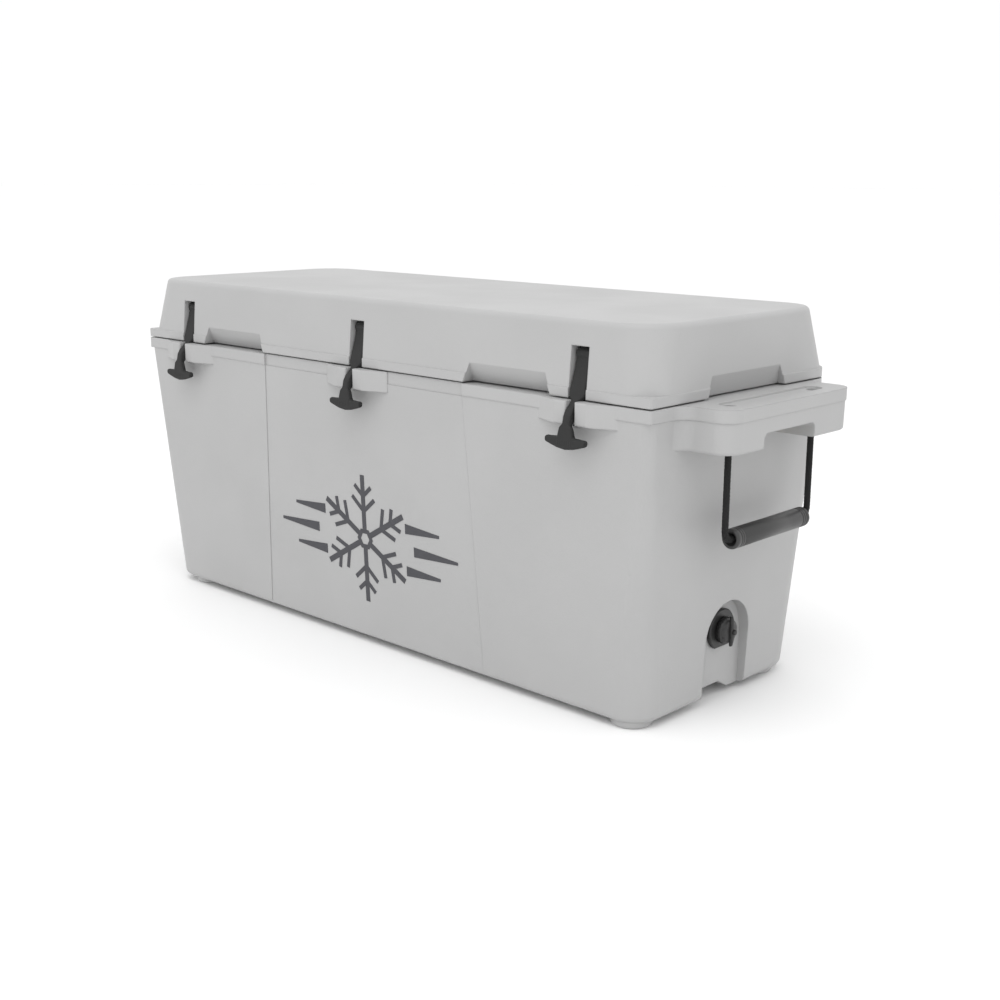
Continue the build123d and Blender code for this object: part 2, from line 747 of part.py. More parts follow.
def front_emblem():
    """Thin raised emblem that lies on the front panel."""
    panel_y = -WIDTH / 2 + wall_inset(EMBLEM_Z) + PANEL_DEPTH
    outward = (0, -cos(WALL_ANGLE), -sin(WALL_ANGLE))
    plane = Plane(origin=(0, panel_y, EMBLEM_Z), x_dir=(1, 0, 0), z_dir=outward)
    shapes = [snowflake()] + side_bars(-1) + side_bars(1)
    flats = [extrude(plane * shape, EMBLEM_THICK, dir=outward) for shape in shapes]
    return Compound(children=flats)


def all_parts():
    """Every node's name and shape."""
    parts = {
        "body_shell": body_shell(),
        "body_foam": foam_zone(),
        "lid_shell": lid_shell(),
        "lid_foam": lid_foam_zone(),
        "lid_gasket": lid_gasket(),
        "hinge_rod": hinge_rod(),
        "hinge_rod_caps": hinge_rod_caps(),
        "latch_pins": latch_pins(),
        "drain_gasket": drain_gasket(),
        "drain_fitting": drain_fitting(),
        "drain_nut": drain_nut(),
        "drain_cap": drain_cap(),
        "drain_cap_seal": drain_cap_seal(),
        "front_emblem": front_emblem(),
    }
    for name, x in LATCH_XS.items():
        parts[name] = latch(x)
    for name, side in (("left", -1), ("right", 1)):
        parts[f"{name}_handle_rope"] = hanging_rope(side)
        parts[f"{name}_rope_knots"] = rope_knots(side)
        parts[f"{name}_grip"] = grip(side)
    return parts


if __name__ == "__main__":
    os.makedirs("parts", exist_ok=True)
    print(f"wall draft {degrees(WALL_ANGLE):.2f} deg, rope bend {ROPE_Y - GRIP_HALF:.1f} mm")
    for node, shape in all_parts().items():
        export_step(shape, f"parts/{node}.step")
        print(f"{node:20s} {len(shape.solids())} solid(s) {shape.volume / 1000:10.1f} cm3")
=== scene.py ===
"""Looks of the cooler chest: moulded shells, rubber latches, rope handles and drain.

Units are metres, in the frame of the CAD part: +X along the length towards the drain,
+Y to the hinge side, +Z up, with the origin on the floor under the chest.
"""

import logging
import math
from dataclasses import dataclass
from enum import Enum
from typing import Callable, Sequence

import bmesh
import bpy
import numpy as np
from mathutils import Matrix, Vector


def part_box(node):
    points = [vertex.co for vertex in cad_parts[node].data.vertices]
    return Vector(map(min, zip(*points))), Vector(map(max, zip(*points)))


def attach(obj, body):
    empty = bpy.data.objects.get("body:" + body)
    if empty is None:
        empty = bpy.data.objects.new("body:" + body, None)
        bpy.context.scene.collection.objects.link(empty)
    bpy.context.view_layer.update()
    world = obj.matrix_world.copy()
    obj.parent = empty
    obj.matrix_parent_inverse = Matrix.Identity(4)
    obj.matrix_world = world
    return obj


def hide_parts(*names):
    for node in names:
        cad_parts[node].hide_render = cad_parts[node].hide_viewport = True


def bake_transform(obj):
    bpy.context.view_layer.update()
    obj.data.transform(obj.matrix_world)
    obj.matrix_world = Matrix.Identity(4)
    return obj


logging.basicConfig(level=logging.INFO, format="%(name)s: %(message)s")
LOG = logging.getLogger("cooler_chest")

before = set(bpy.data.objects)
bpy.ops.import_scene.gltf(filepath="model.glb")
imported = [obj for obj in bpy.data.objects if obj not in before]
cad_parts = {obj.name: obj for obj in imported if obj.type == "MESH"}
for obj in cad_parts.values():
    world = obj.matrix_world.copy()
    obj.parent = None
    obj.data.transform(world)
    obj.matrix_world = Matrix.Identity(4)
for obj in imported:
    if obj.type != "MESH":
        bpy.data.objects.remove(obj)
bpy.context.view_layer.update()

MM = 0.001
LID_RISE = 92.0 * MM  # height of the lid above the parting line
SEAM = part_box("lid_shell")[1].z - LID_RISE  # height of the parting line

Point = Sequence[float]
Shade = tuple[float, float, float]
Flat = tuple[float, float]  # two sizes, as of a point on a section
NodeSocket = bpy.types.NodeSocket
Feed = NodeSocket | bpy.types.Node | bpy.types.Material | float | Point  # what can feed an input
Sockets = dict[str, NodeSocket]

# Numbers of the sockets that share a name with others on their node.
MIX_SHARE, MIX_FIRST, MIX_SECOND, MIX_RESULT = 0, 6, 7, 2
RANDOM_LOW, RANDOM_HIGH, RANDOM_RESULT = 2, 3, 1


def grey(level: float) -> Shade:
    """A neutral colour of one linear level."""
    return (level, level, level)


# --- Node helpers ---


class Tree:
    """A node tree that is filled by short calls.

    Args:
        tree: the shader or geometry node tree to fill.
    """

    def __init__(self, tree: bpy.types.NodeTree) -> None:
        """Keeps the tree."""
        self.tree = tree

    def add(
        self, kind: str, inputs: dict[str | int, Feed] | None = None, **settings: object
    ) -> bpy.types.Node:
        """Adds a node.

        Args:
            kind: the node's type name.
            inputs: socket name or number to a value or to the socket that feeds it.
            settings: properties of the node.

        Returns:
            The new node.
        """
        node = self.tree.nodes.new(kind)
        for name, value in settings.items():
            setattr(node, name, value)
        for key, value in (inputs or {}).items():
            self.put(node, key, value)
        return node

    def put(self, node: bpy.types.Node, key: str | int, value: Feed) -> None:
        """Links or sets one input of a node.

        Args:
            node: the node to feed.
            key: the input's name or number.
            value: a socket, a node whose first output is used, or a plain value.
        """
        socket = node.inputs[key]
        if isinstance(value, bpy.types.Node):
            value = value.outputs[0]
        if isinstance(value, NodeSocket):
            self.tree.links.new(value, socket)
        elif socket.type == "RGBA" and len(value) == 3:
            socket.default_value = (*value, 1.0)
        else:
            socket.default_value = value

    def maths(self, operation: str, *values: Feed, clamp: bool = False) -> NodeSocket:
        """Adds a maths node and gives its output.

        Args:
            operation: the operation's name.
            values: sockets or numbers, in order.
            clamp: whether the result is held between 0 and 1.

        Returns:
            The result.
        """
        node = self.tree.nodes.new("ShaderNodeMath")
        node.operation = operation
        node.use_clamp = clamp
        for i, value in enumerate(values):
            self.put(node, i, value)
        return node.outputs[0]

    def ramp(
        self, value: Feed, low: Feed, high: Feed, to_low: float = 0.0, to_high: float = 1.0
    ) -> NodeSocket:
        """Maps a value smoothly from one range to another, clamped.

        Args:
            value: the socket to map.
            low: where the range starts.
            high: where the range ends.
            to_low: result at low.
            to_high: result at high.

        Returns:
            The mapped socket.
        """
        node = self.tree.nodes.new("ShaderNodeMapRange")
        node.interpolation_type = "SMOOTHSTEP"
        names = ("Value", "From Min", "From Max", "To Min", "To Max")
        for name, given in zip(names, (value, low, high, to_low, to_high)):
            self.put(node, name, given)
        return node.outputs[0]

    def mix(self, share: Feed, first: Feed, second: Feed) -> NodeSocket:
        """Mixes two colours.

        Args:
            share: how much of the second colour shows.
            first: colour or socket at 0.
            second: colour or socket at 1.

        Returns:
            The mixed colour.
        """
        node = self.tree.nodes.new("ShaderNodeMix")
        node.data_type = "RGBA"
        self.put(node, MIX_SHARE, share)
        self.put(node, MIX_FIRST, first)
        self.put(node, MIX_SECOND, second)
        return node.outputs[MIX_RESULT]


@dataclass
class ShaderGroup:
    """A shared shader effect with named inputs and outputs.

    Args:
        name: the group's name.
        inputs: input name to its default value; a vector input has three numbers.
        outputs: output names; Normal is a vector and the others plain values.
        fill: fills the group from its tree and its input sockets, and gives the outputs.
        built: the group, once it is made.
    """

    name: str
    inputs: dict[str, float | Shade]
    outputs: tuple[str, ...]
    fill: Callable[[Tree, Sockets], Sockets]
    built: bpy.types.NodeTree | None = None

    def build(self) -> bpy.types.NodeTree:
        """Makes the group the first time.

        Returns:
            The group.
        """
        if self.built is None:
            group = bpy.data.node_groups.new(self.name, "ShaderNodeTree")
            for name, value in self.inputs.items():
                kind = "NodeSocketVector" if isinstance(value, tuple) else "NodeSocketFloat"
                socket = group.interface.new_socket(name, in_out="INPUT", socket_type=kind)
                socket.default_value = value
            for name in self.outputs:
                kind = "NodeSocketVector" if name == "Normal" else "NodeSocketFloat"
                group.interface.new_socket(name, in_out="OUTPUT", socket_type=kind)
            tree = Tree(group)
            source = tree.add("NodeGroupInput")
            sockets = {name: source.outputs[name] for name in self.inputs}
            results = self.fill(tree, sockets)
            tree.add("NodeGroupOutput", inputs=results)
            self.built = group
        return self.built

    def place(self, tree: Tree, **inputs: Feed) -> bpy.types.Node:
        """Places the group in a material.

        Args:
            tree: the material's tree.
            inputs: values by input name, with _ for a space.

        Returns:
            The group node.
        """
        node = tree.add("ShaderNodeGroup", node_tree=self.build())
        for name, value in inputs.items():
            tree.put(node, name.replace("_", " "), value)
        return node


# --- Shared effects ---


def fill_mould_grain(tree: Tree, given: Sockets) -> Sockets:
    """Soft orange peel with finer grit on it, as a rotating oven mould leaves.

    Args:
        tree: the group's tree.
        given: the group's input sockets.

    Returns:
        The outputs by name.
    """
    peel = tree.add(
        "ShaderNodeTexNoise",
        {"Vector": given["Vector"], "Scale": given["Peel Scale"], "Detail": 1.5, "Roughness": 0.4},
    )
    grit = tree.add(
        "ShaderNodeTexNoise",
        {"Vector": given["Vector"], "Scale": given["Grit Scale"], "Detail": 2.0},
    )
    cloud = tree.add(
        "ShaderNodeTexNoise", {"Vector": given["Vector"], "Scale": 6.0, "Detail": 3.0}
    )
    fine = tree.maths("MULTIPLY", grit.outputs[0], given["Grit Share"])
    return {
        "Height": tree.maths("ADD", peel.outputs[0], fine),
        "Mottle": tree.ramp(cloud.outputs[0], 0.3, 0.7),
    }


def fill_scuffs(tree: Tree, given: Sockets) -> Sockets:
    """Thin scratches in two directions, broken up by patches.

    Args:
        tree: the group's tree.
        given: the group's input sockets.

    Returns:
        The outputs by name.
    """
    lines = []
    lengthwise = (0.5, (9.0, 1.0, 1.6))
    upright = (-0.7, (1.2, 1.0, 11.0))
    for turn, stretch in (lengthwise, upright):
        mapped = tree.add(
            "ShaderNodeMapping",
            {"Vector": given["Vector"], "Rotation": (turn, turn * 0.4, turn), "Scale": stretch},
        )
        noise = tree.add(
            "ShaderNodeTexNoise", {"Vector": mapped, "Scale": given["Scale"], "Detail": 2.0}
        )
        from_middle = tree.maths("ABSOLUTE", tree.maths("SUBTRACT", noise.outputs[0], 0.5))
        lines.append(tree.ramp(from_middle, 0.0, given["Width"], 1.0, 0.0))
    patches = tree.add("ShaderNodeTexNoise", {"Vector": given["Vector"], "Scale": 14.0})
    where = tree.ramp(patches.outputs[0], 0.52, 0.68)
    both = tree.maths("MAXIMUM", *lines)
    return {"Mask": tree.maths("MULTIPLY", both, where)}


def fill_edge_wear_and_shade(tree: Tree, given: Sockets) -> Sockets:
    """Worn outer edges, dust and painted shade in corners and hollows, and edges that look rounded.

    Args:
        tree: the group's tree.
        given: the group's input sockets.

    Returns:
        The outputs by name.
    """
    rounded = tree.add("ShaderNodeBevel", {"Radius": given["Radius"]}, samples=4)
    surface = tree.add("ShaderNodeNewGeometry")
    likeness = tree.add(
        "ShaderNodeVectorMath",
        {0: rounded.outputs[0], 1: surface.outputs["Normal"]},
        operation="DOT_PRODUCT",
    )
    edge = tree.ramp(likeness.outputs["Value"], 0.97, 0.85)
    grain = tree.add("ShaderNodeTexNoise", {"Vector": given["Vector"], "Scale": 60.0, "Detail": 3.0})
    broken = tree.ramp(grain.outputs[0], 0.35, 0.6)
    # Painted shade: ambient occlusion finds where shade falls in corners and hollows, and the same
    # mask places dust.
    hollow = tree.add(
        "ShaderNodeAmbientOcclusion", {"Distance": given["Dust Reach"]}, samples=6, only_local=True
    )
    return {
        "Wear": tree.maths("MULTIPLY", edge, broken),
        "Dust": tree.ramp(hollow.outputs["AO"], 0.75, 0.15),
        "Normal": rounded.outputs[0],
    }


def fill_print_fade(tree: Tree, given: Sockets) -> Sockets:
    """How far a printed film has faded to its second ink, from its top down, with a soft screen.

    Args:
        tree: the group's tree.
        given: the group's input sockets.

    Returns:
        The outputs by name.
    """
    height = tree.add("ShaderNodeSeparateXYZ", {0: given["Vector"]}).outputs["Z"]
    share = tree.add("ShaderNodeMapRange", {"Value": height})
    tree.put(share, "From Min", given["High"])
    tree.put(share, "From Max", given["Low"])
    screen = tree.add(
        "ShaderNodeTexVoronoi", {"Vector": given["Vector"], "Scale": given["Screen"]}
    )
    dots = tree.maths("MULTIPLY_ADD", screen.outputs["Distance"], -0.5, share.outputs[0])
    return {"Mask": tree.ramp(dots, 0.1, 0.7)}


PRINT_FADE = ShaderGroup(
    "print_fade",
    {"Vector": (0.0, 0.0, 0.0), "Low": 0.0, "High": 1.0, "Screen": 700.0},
    ("Mask",),
    fill_print_fade,
)
MOULD_GRAIN = ShaderGroup(
    "mould_grain",
    {"Vector": (0.0, 0.0, 0.0), "Peel Scale": 420.0, "Grit Scale": 2600.0, "Grit Share": 0.3},
    ("Height", "Mottle"),
    fill_mould_grain,
)
SCUFFS = ShaderGroup(
    "scuffs",
    {"Vector": (0.0, 0.0, 0.0), "Scale": 22.0, "Width": 0.01},
    ("Mask",),
    fill_scuffs,
)
EDGE_WEAR_AND_SHADE = ShaderGroup(
    "edge_wear_and_shade",
    {"Vector": (0.0, 0.0, 0.0), "Radius": 0.002, "Dust Reach": 0.012},
    ("Wear", "Dust", "Normal"),
    fill_edge_wear_and_shade,
)


# --- Finishes ---


@dataclass(frozen=True)
class Finish:
    """One moulded, rubber or metal finish, with grain, wear, and dust and painted shade in corners.

    Args:
        name: the material's name.
        colour: base colour, linear.
        cloud: second colour that the base drifts to in patches.
        worn: colour of rubbed edges and scratches.
        dust_and_shade_colour: colour of corners and hollows; painted shade where it is darker than
            the base colour, dust where it is paler.
        roughness: roughness of the clean surface.
        rough_spread: how much the roughness drifts.
        metallic: 1 for bare metal.
        peel_scale: grain cells per metre.
        grit_scale: fine grain cells per metre.
        grit_share: height of the fine grain against the coarse one.
        bump: depth of the grain, in metres.
        wear: how strongly edges are rubbed.
        scratch: how strongly scratches show.
        dust_and_shade_strength: how strongly dust and painted shade show in corners and hollows.
        specular: specular level of the shader.
        sheen: sheen weight of the shader.
        soft_edge: radius by which sharp edges look rounded, in metres.
        fade: lowest and highest Z of a print that fades downwards, in metres, or None.
        fade_colour: the ink that it fades to.
    """

    name: str
    colour: Shade
    cloud: Shade
    worn: Shade
    dust_and_shade_colour: Shade
    roughness: float = 0.5
    rough_spread: float = 0.1
    metallic: float = 0.0
    peel_scale: float = 420.0
    grit_scale: float = 2600.0
    grit_share: float = 0.3
    bump: float = 0.0001
    wear: float = 0.3
    scratch: float = 0.2
    dust_and_shade_strength: float = 0.2
    specular: float = 0.5
    sheen: float = 0.0
    soft_edge: float = 0.001
    fade: tuple[float, float] | None = None
    fade_colour: Shade = (0.2, 0.2, 0.2)

    def build(self) -> bpy.types.Material:
        """Makes the material the first time.

        Returns:
            The material.
        """
        found = bpy.data.materials.get(self.name)
        if found is not None:
            return found
        material = bpy.data.materials.new(self.name)
        material.use_nodes = True
        tree = Tree(material.node_tree)
        shader = material.node_tree.nodes["Principled BSDF"]
        shader.inputs["Metallic"].default_value = self.metallic
        shader.inputs["Specular IOR Level"].default_value = self.specular
        shader.inputs["Sheen Weight"].default_value = self.sheen
        place = tree.add("ShaderNodeTexCoord").outputs["Object"]
        grain = MOULD_GRAIN.place(
            tree,
            Vector=place,
            Peel_Scale=self.peel_scale,
            Grit_Scale=self.grit_scale,
            Grit_Share=self.grit_share,
        )
        edges = EDGE_WEAR_AND_SHADE.place(tree, Vector=place, Radius=self.soft_edge)
        scuffs = SCUFFS.place(tree, Vector=place)
        worn = tree.maths("MULTIPLY", edges.outputs["Wear"], self.wear)
        scratched = tree.maths("MULTIPLY", scuffs.outputs["Mask"], self.scratch)
        rubbed = tree.maths("MAXIMUM", worn, scratched)
        # Painted shade: the ambient-occlusion mask, which also marks where dust settles.
        dust_and_shade = tree.maths("MULTIPLY", edges.outputs["Dust"], self.dust_and_shade_strength)
        colour = tree.mix(grain.outputs["Mottle"], self.colour, self.cloud)
        if self.fade is not None:
            low, high = self.fade
            faded = PRINT_FADE.place(tree, Vector=place, Low=low, High=high)
            colour = tree.mix(faded.outputs["Mask"], colour, self.fade_colour)
        colour = tree.mix(rubbed, colour, self.worn)
        # Corners and hollows take the fourth colour: painted shade on the shell, foam and steel,
        # where it is darker than the base, and pale dust on the black parts.
        colour = tree.mix(dust_and_shade, colour, self.dust_and_shade_colour)
        tree.put(shader, "Base Color", colour)
        drift = tree.maths("SUBTRACT", grain.outputs["Mottle"], 0.5)
        rough = tree.maths("MULTIPLY_ADD", drift, self.rough_spread, self.roughness)
        rough = tree.maths("MULTIPLY_ADD", dust_and_shade, 0.3, rough, clamp=True)
        tree.put(shader, "Roughness", rough)
        height = tree.maths("MULTIPLY_ADD", scratched, -0.6, grain.outputs["Height"])
        bump = tree.add(
            "ShaderNodeBump",
            {"Height": height, "Distance": self.bump, "Normal": edges.outputs["Normal"]},
        )
        tree.put(shader, "Normal", bump)
        return material


class Finishes(Enum):
    """Every finish on the chest."""

    # The fourth colour of each finish fills corners and hollows: painted shade where it is darker
    # than the base (shell, foam, steel), dust where it is paler (black parts).
    SHELL = Finish(
        "white_polyethylene", grey(0.43), grey(0.416), grey(0.49), (0.36, 0.355, 0.34),
        roughness=0.48, rough_spread=0.08, bump=0.00012, wear=0.15, scratch=0.06,
        dust_and_shade_strength=0.18, specular=0.35, soft_edge=0.0025,
    )
    FOAM = Finish(
        "insulation_foam", (0.8, 0.7, 0.42), (0.74, 0.63, 0.36), (0.85, 0.77, 0.5),
        grey(0.3),
    )
    SEAL = Finish(
        "grey_seal", grey(0.12), grey(0.1), grey(0.2), grey(0.3),
        roughness=0.6,
    )
    STEEL = Finish(
        "steel_rod", grey(0.55), grey(0.48), grey(0.7), grey(0.2),
        roughness=0.3, metallic=1.0, peel_scale=900.0, bump=0.00003,
    )
    BLACK_PLASTIC = Finish(
        "black_plastic", grey(0.014), grey(0.018), grey(0.09), (0.10, 0.097, 0.09),
        roughness=0.42, bump=0.00005, wear=0.35, dust_and_shade_strength=0.3,
    )
    GRIP = Finish(
        "grip_plastic", grey(0.018), grey(0.022), grey(0.07), (0.10, 0.097, 0.09),
        roughness=0.45, bump=0.00006, wear=0.2, dust_and_shade_strength=0.15,
    )
    RUBBER = Finish(
        "black_rubber", grey(0.006), grey(0.008), grey(0.03), (0.05, 0.048, 0.045),
        roughness=0.6, bump=0.00005, wear=0.25, dust_and_shade_strength=0.15, specular=0.2,
    )
    ROPE = Finish(
        "black_rope", grey(0.010), grey(0.014), grey(0.04), (0.05, 0.048, 0.045),
        roughness=0.75, peel_scale=2600.0, grit_scale=6000.0, bump=0.0001, sheen=0.25,
    )
    EMBLEM = Finish(
        "emblem_ink", grey(0.012), grey(0.018), grey(0.12), grey(0.1),
        roughness=0.4, bump=0.00002, fade=(0.06, 0.25), fade_colour=grey(0.16),
    )

    def material(self) -> bpy.types.Material:
        """The finish's material."""
        return self.value.build()


CAD_FINISHES: dict[Finishes, tuple[str, ...]] = {
    Finishes.SHELL: ("body_shell", "lid_shell"),
    Finishes.FOAM: ("body_foam", "lid_foam"),
    Finishes.SEAL: ("lid_gasket",),
    Finishes.STEEL: ("hinge_rod", "latch_pins"),
    Finishes.BLACK_PLASTIC: ("hinge_rod_caps", "drain_fitting", "drain_nut", "drain_cap"),
    Finishes.RUBBER: (
        "drain_gasket",
        "drain_cap_seal",
        "left_latch",
        "middle_latch",
        "right_latch",
    ),
    Finishes.EMBLEM: ("front_emblem",),
    Finishes.ROPE: (
        "left_handle_rope",
        "right_handle_rope",
        "left_rope_knots",
        "right_rope_knots",
    ),
    Finishes.GRIP: ("left_grip", "right_grip"),
}


def dress(item: bpy.types.Object, finish: Finishes) -> bpy.types.Object:
    """Gives an object one finish.

    Args:
        item: the object to dress.
        finish: the finish.

    Returns:
        The same object.
    """
    item.data.materials.clear()
    item.data.materials.append(finish.material())
    return item


# --- Meshes ---


class Solid:
    """A closed mesh put together from lofts.

    Args:
        name: the piece's name.
    """

    def __init__(self, name: str) -> None:
        """Starts an empty mesh."""
        self.name = name
        self.mesh = bmesh.new()

    def loft(self, rings: Sequence[Sequence[Point]], closed: bool = False) -> None:
        """Joins rings of equal length by quads.

        Args:
            rings: the outlines in order, in metres.
            closed: whether the last ring joins the first one, instead of both ends having a lid.
        """
        rows = [[self.mesh.verts.new(point) for point in ring] for ring in rings]
        count = len(rows[0])
        pairs = list(zip(rows, rows[1:]))
        if closed:
            pairs.append((rows[-1], rows[0]))
        for low, high in pairs:
            for i in range(count):
                j = (i + 1) % count
                self.mesh.faces.new((low[i], low[j], high[j], high[i]))
        if not closed:
            self.mesh.faces.new(rows[0][::-1])
            self.mesh.faces.new(rows[-1])

    def lathe(
        self, profile: Sequence[Flat], centre: Point, axis: int, steps: int = 64
    ) -> None:
        """Turns a profile round an axis.

        Args:
            profile: (radius, distance along the axis) points; the first and last get a lid.
            centre: where distance 0 lies.
            axis: 0 for X, 1 for Y, 2 for Z.
            steps: faces round the axis.
        """
        across, up = (axis + 1) % 3, (axis + 2) % 3
        rings = []
        for radius, along in profile:
            ring = []
            for i in range(steps):
                angle = math.tau * i / steps
                point = list(centre)
                point[axis] += along
                point[across] += radius * math.cos(angle)
                point[up] += radius * math.sin(angle)
                ring.append(point)
            rings.append(ring)
        self.loft(rings)

    def add(self, item: bpy.types.Object) -> None:
        """Takes in the mesh of another object and deletes that object."""
        self.mesh.from_mesh(item.data)
        bpy.data.objects.remove(item)

    def finish(self) -> bpy.types.Object:
        """Makes the object, shaded smooth.

        Returns:
            The new object, at the origin.
        """
        bmesh.ops.recalc_face_normals(self.mesh, faces=self.mesh.faces)
        for face in self.mesh.faces:
            face.smooth = True
        data = bpy.data.meshes.new(self.name)
        self.mesh.to_mesh(data)
        self.mesh.free()
        item = bpy.data.objects.new(self.name, data)
        bpy.context.scene.collection.objects.link(item)
        return item


def bake(item: bpy.types.Object) -> bpy.types.Object:
    """Replaces an object's mesh by what its modifiers make of it, and removes them.

    Args:
        item: the object.

    Returns:
        The same object.
    """
    bpy.context.view_layer.update()
    depsgraph = bpy.context.evaluated_depsgraph_get()
    data = bpy.data.meshes.new_from_object(item.evaluated_get(depsgraph))
    item.modifiers.clear()
    item.data = data
    return item


def fuse(item: bpy.types.Object, voxel: float) -> bpy.types.Object:
    """Unites an object's overlapping shells into one soft moulded skin.

    Args:
        item: the object.
        voxel: cell size, in metres.

    Returns:
        The same object.
    """
    remesh = item.modifiers.new("fuse", "REMESH")
    remesh.mode = "VOXEL"
    remesh.voxel_size = voxel
    remesh.use_smooth_shade = True
    relax = item.modifiers.new("relax", "SMOOTH")
    relax.factor = 0.5
    relax.iterations = 4
    return bake(item)


# --- Geometry nodes ---


@dataclass
class Recipe:
    """A geometry node group with named inputs, which is run on one object.

    Args:
        name: the group's name.
        inputs: input name to its socket type.
        fill: fills the group from its tree and its input node, and gives the geometry.
    """

    name: str
    inputs: dict[str, str]
    fill: Callable[[Tree, bpy.types.Node], NodeSocket]

    def run(self, item: bpy.types.Object, **values: Feed) -> bpy.types.Object:
        """Runs the group on an object and keeps only the result.

        Args:
            item: the object whose mesh goes in and out.
            values: input values by name, with _ for a space.

        Returns:
            The same object.
        """
        group = bpy.data.node_groups.get(self.name)
        if group is None:
            group = bpy.data.node_groups.new(self.name, "GeometryNodeTree")
            group.interface.new_socket("Geometry", in_out="INPUT", socket_type="NodeSocketGeometry")
            for name, kind in self.inputs.items():
                group.interface.new_socket(name, in_out="INPUT", socket_type=kind)
            group.interface.new_socket("Geometry", in_out="OUTPUT", socket_type="NodeSocketGeometry")
            tree = Tree(group)
            result = self.fill(tree, tree.add("NodeGroupInput"))
            tree.add("NodeGroupOutput", {"Geometry": result})
        modifier = item.modifiers.new(self.name, "NODES")
        modifier.node_group = group
        sockets = group.interface.items_tree
        identifiers = {s.name: s.identifier for s in sockets if s.in_out == "INPUT"}
        for name, value in values.items():
            modifier[identifiers[name.replace("_", " ")]] = value
        return bake(item)


def fill_braid(tree: Tree, given: bpy.types.Node) -> NodeSocket:
    """Two families of strands that wind round a path and pass over and under each other.

    Args:
        tree: the group's tree.
        given: the group's input node.

    Returns:
        The geometry.
    """
    path = tree.add("GeometryNodeMeshToCurve", {"Mesh": given.outputs["Geometry"]})
    path = tree.add(
        "GeometryNodeResampleCurve", {"Curve": path, "Length": given.outputs["Step"]}, mode="LENGTH"
    )
    path = tree.add("GeometryNodeSetCurveNormal", {"Curve": path})
    count = given.outputs["Strands"]
    copies = tree.add(
        "GeometryNodeDuplicateElements", {"Geometry": path, "Amount": count}, domain="SPLINE"
    )
    number = copies.outputs["Duplicate Index"]
    along = tree.add("GeometryNodeSplineParameter").outputs["Length"]
    turn = tree.maths("MULTIPLY", along, tree.maths("DIVIDE", math.tau, given.outputs["Pitch"]))
    phase = tree.maths("DIVIDE", tree.maths("MULTIPLY", number, math.tau), count)
    weave = tree.maths("COSINE", tree.maths("MULTIPLY", turn, count))
    normal = tree.add("GeometryNodeInputNormal").outputs[0]
    tangent = tree.add("GeometryNodeInputTangent").outputs[0]
    side = tree.add("ShaderNodeVectorMath", {0: tangent, 1: normal}, operation="CROSS_PRODUCT")
    thickness = tree.add(
        "FunctionNodeRandomValue",
        {"ID": number, "Seed": given.outputs["Seed"], RANDOM_LOW: 0.92, RANDOM_HIGH: 1.06},
    )
    families = []
    for sign in (1.0, -1.0):
        angle = tree.maths("MULTIPLY", tree.maths("ADD", turn, phase), sign)
        swing = tree.maths("MULTIPLY", tree.maths("MULTIPLY", weave, given.outputs["Weave"]), sign)
        reach = tree.maths("ADD", given.outputs["Radius"], swing)
        shares = []
        for vector, function in ((normal, "COSINE"), (side, "SINE")):
            size = tree.maths("MULTIPLY", tree.maths(function, angle), reach)
            shares.append(
                tree.add("ShaderNodeVectorMath", {0: vector, "Scale": size}, operation="SCALE")
            )
        offset = tree.add("ShaderNodeVectorMath", {0: shares[0], 1: shares[1]})
        strands = tree.add("GeometryNodeSetPosition", {"Geometry": copies, "Offset": offset})
        strands = tree.add(
            "GeometryNodeSetCurveRadius",
            {"Curve": strands, "Radius": thickness.outputs[RANDOM_RESULT]},
        )
        section = tree.add(
            "GeometryNodeCurvePrimitiveCircle",
            {"Resolution": 6, "Radius": given.outputs["Strand Radius"]},
        )
        radius = tree.add("GeometryNodeInputRadius")
        tube = tree.add(
            "GeometryNodeCurveToMesh",
            {"Curve": strands, "Profile Curve": section, "Scale": radius, "Fill Caps": True},
        )
        families.append(tube)
    core_section = tree.add(
        "GeometryNodeCurvePrimitiveCircle", {"Resolution": 12, "Radius": given.outputs["Radius"]}
    )
    core = tree.add(
        "GeometryNodeCurveToMesh",
        {"Curve": path, "Profile Curve": core_section, "Fill Caps": True},
    )
    joined = tree.add("GeometryNodeJoinGeometry")
    for part in (*families, core):
        tree.tree.links.new(part.outputs[0], joined.inputs[0])
    return finish_geometry(tree, joined, given)


def finish_geometry(tree: Tree, geometry: bpy.types.Node, given: bpy.types.Node) -> NodeSocket:
    """Ends a geometry group: real geometry, smooth, with its material.

    Args:
        tree: the group's tree.
        geometry: the node that gives the geometry.
        given: the group's input node.

    Returns:
        The finished geometry.
    """
    real = tree.add("GeometryNodeRealizeInstances", {"Geometry": geometry})
    smooth = tree.add("GeometryNodeSetShadeSmooth", {"Geometry": real})
    painted = tree.add(
        "GeometryNodeSetMaterial", {"Geometry": smooth, "Material": given.outputs["Material"]}
    )
    return painted.outputs[0]


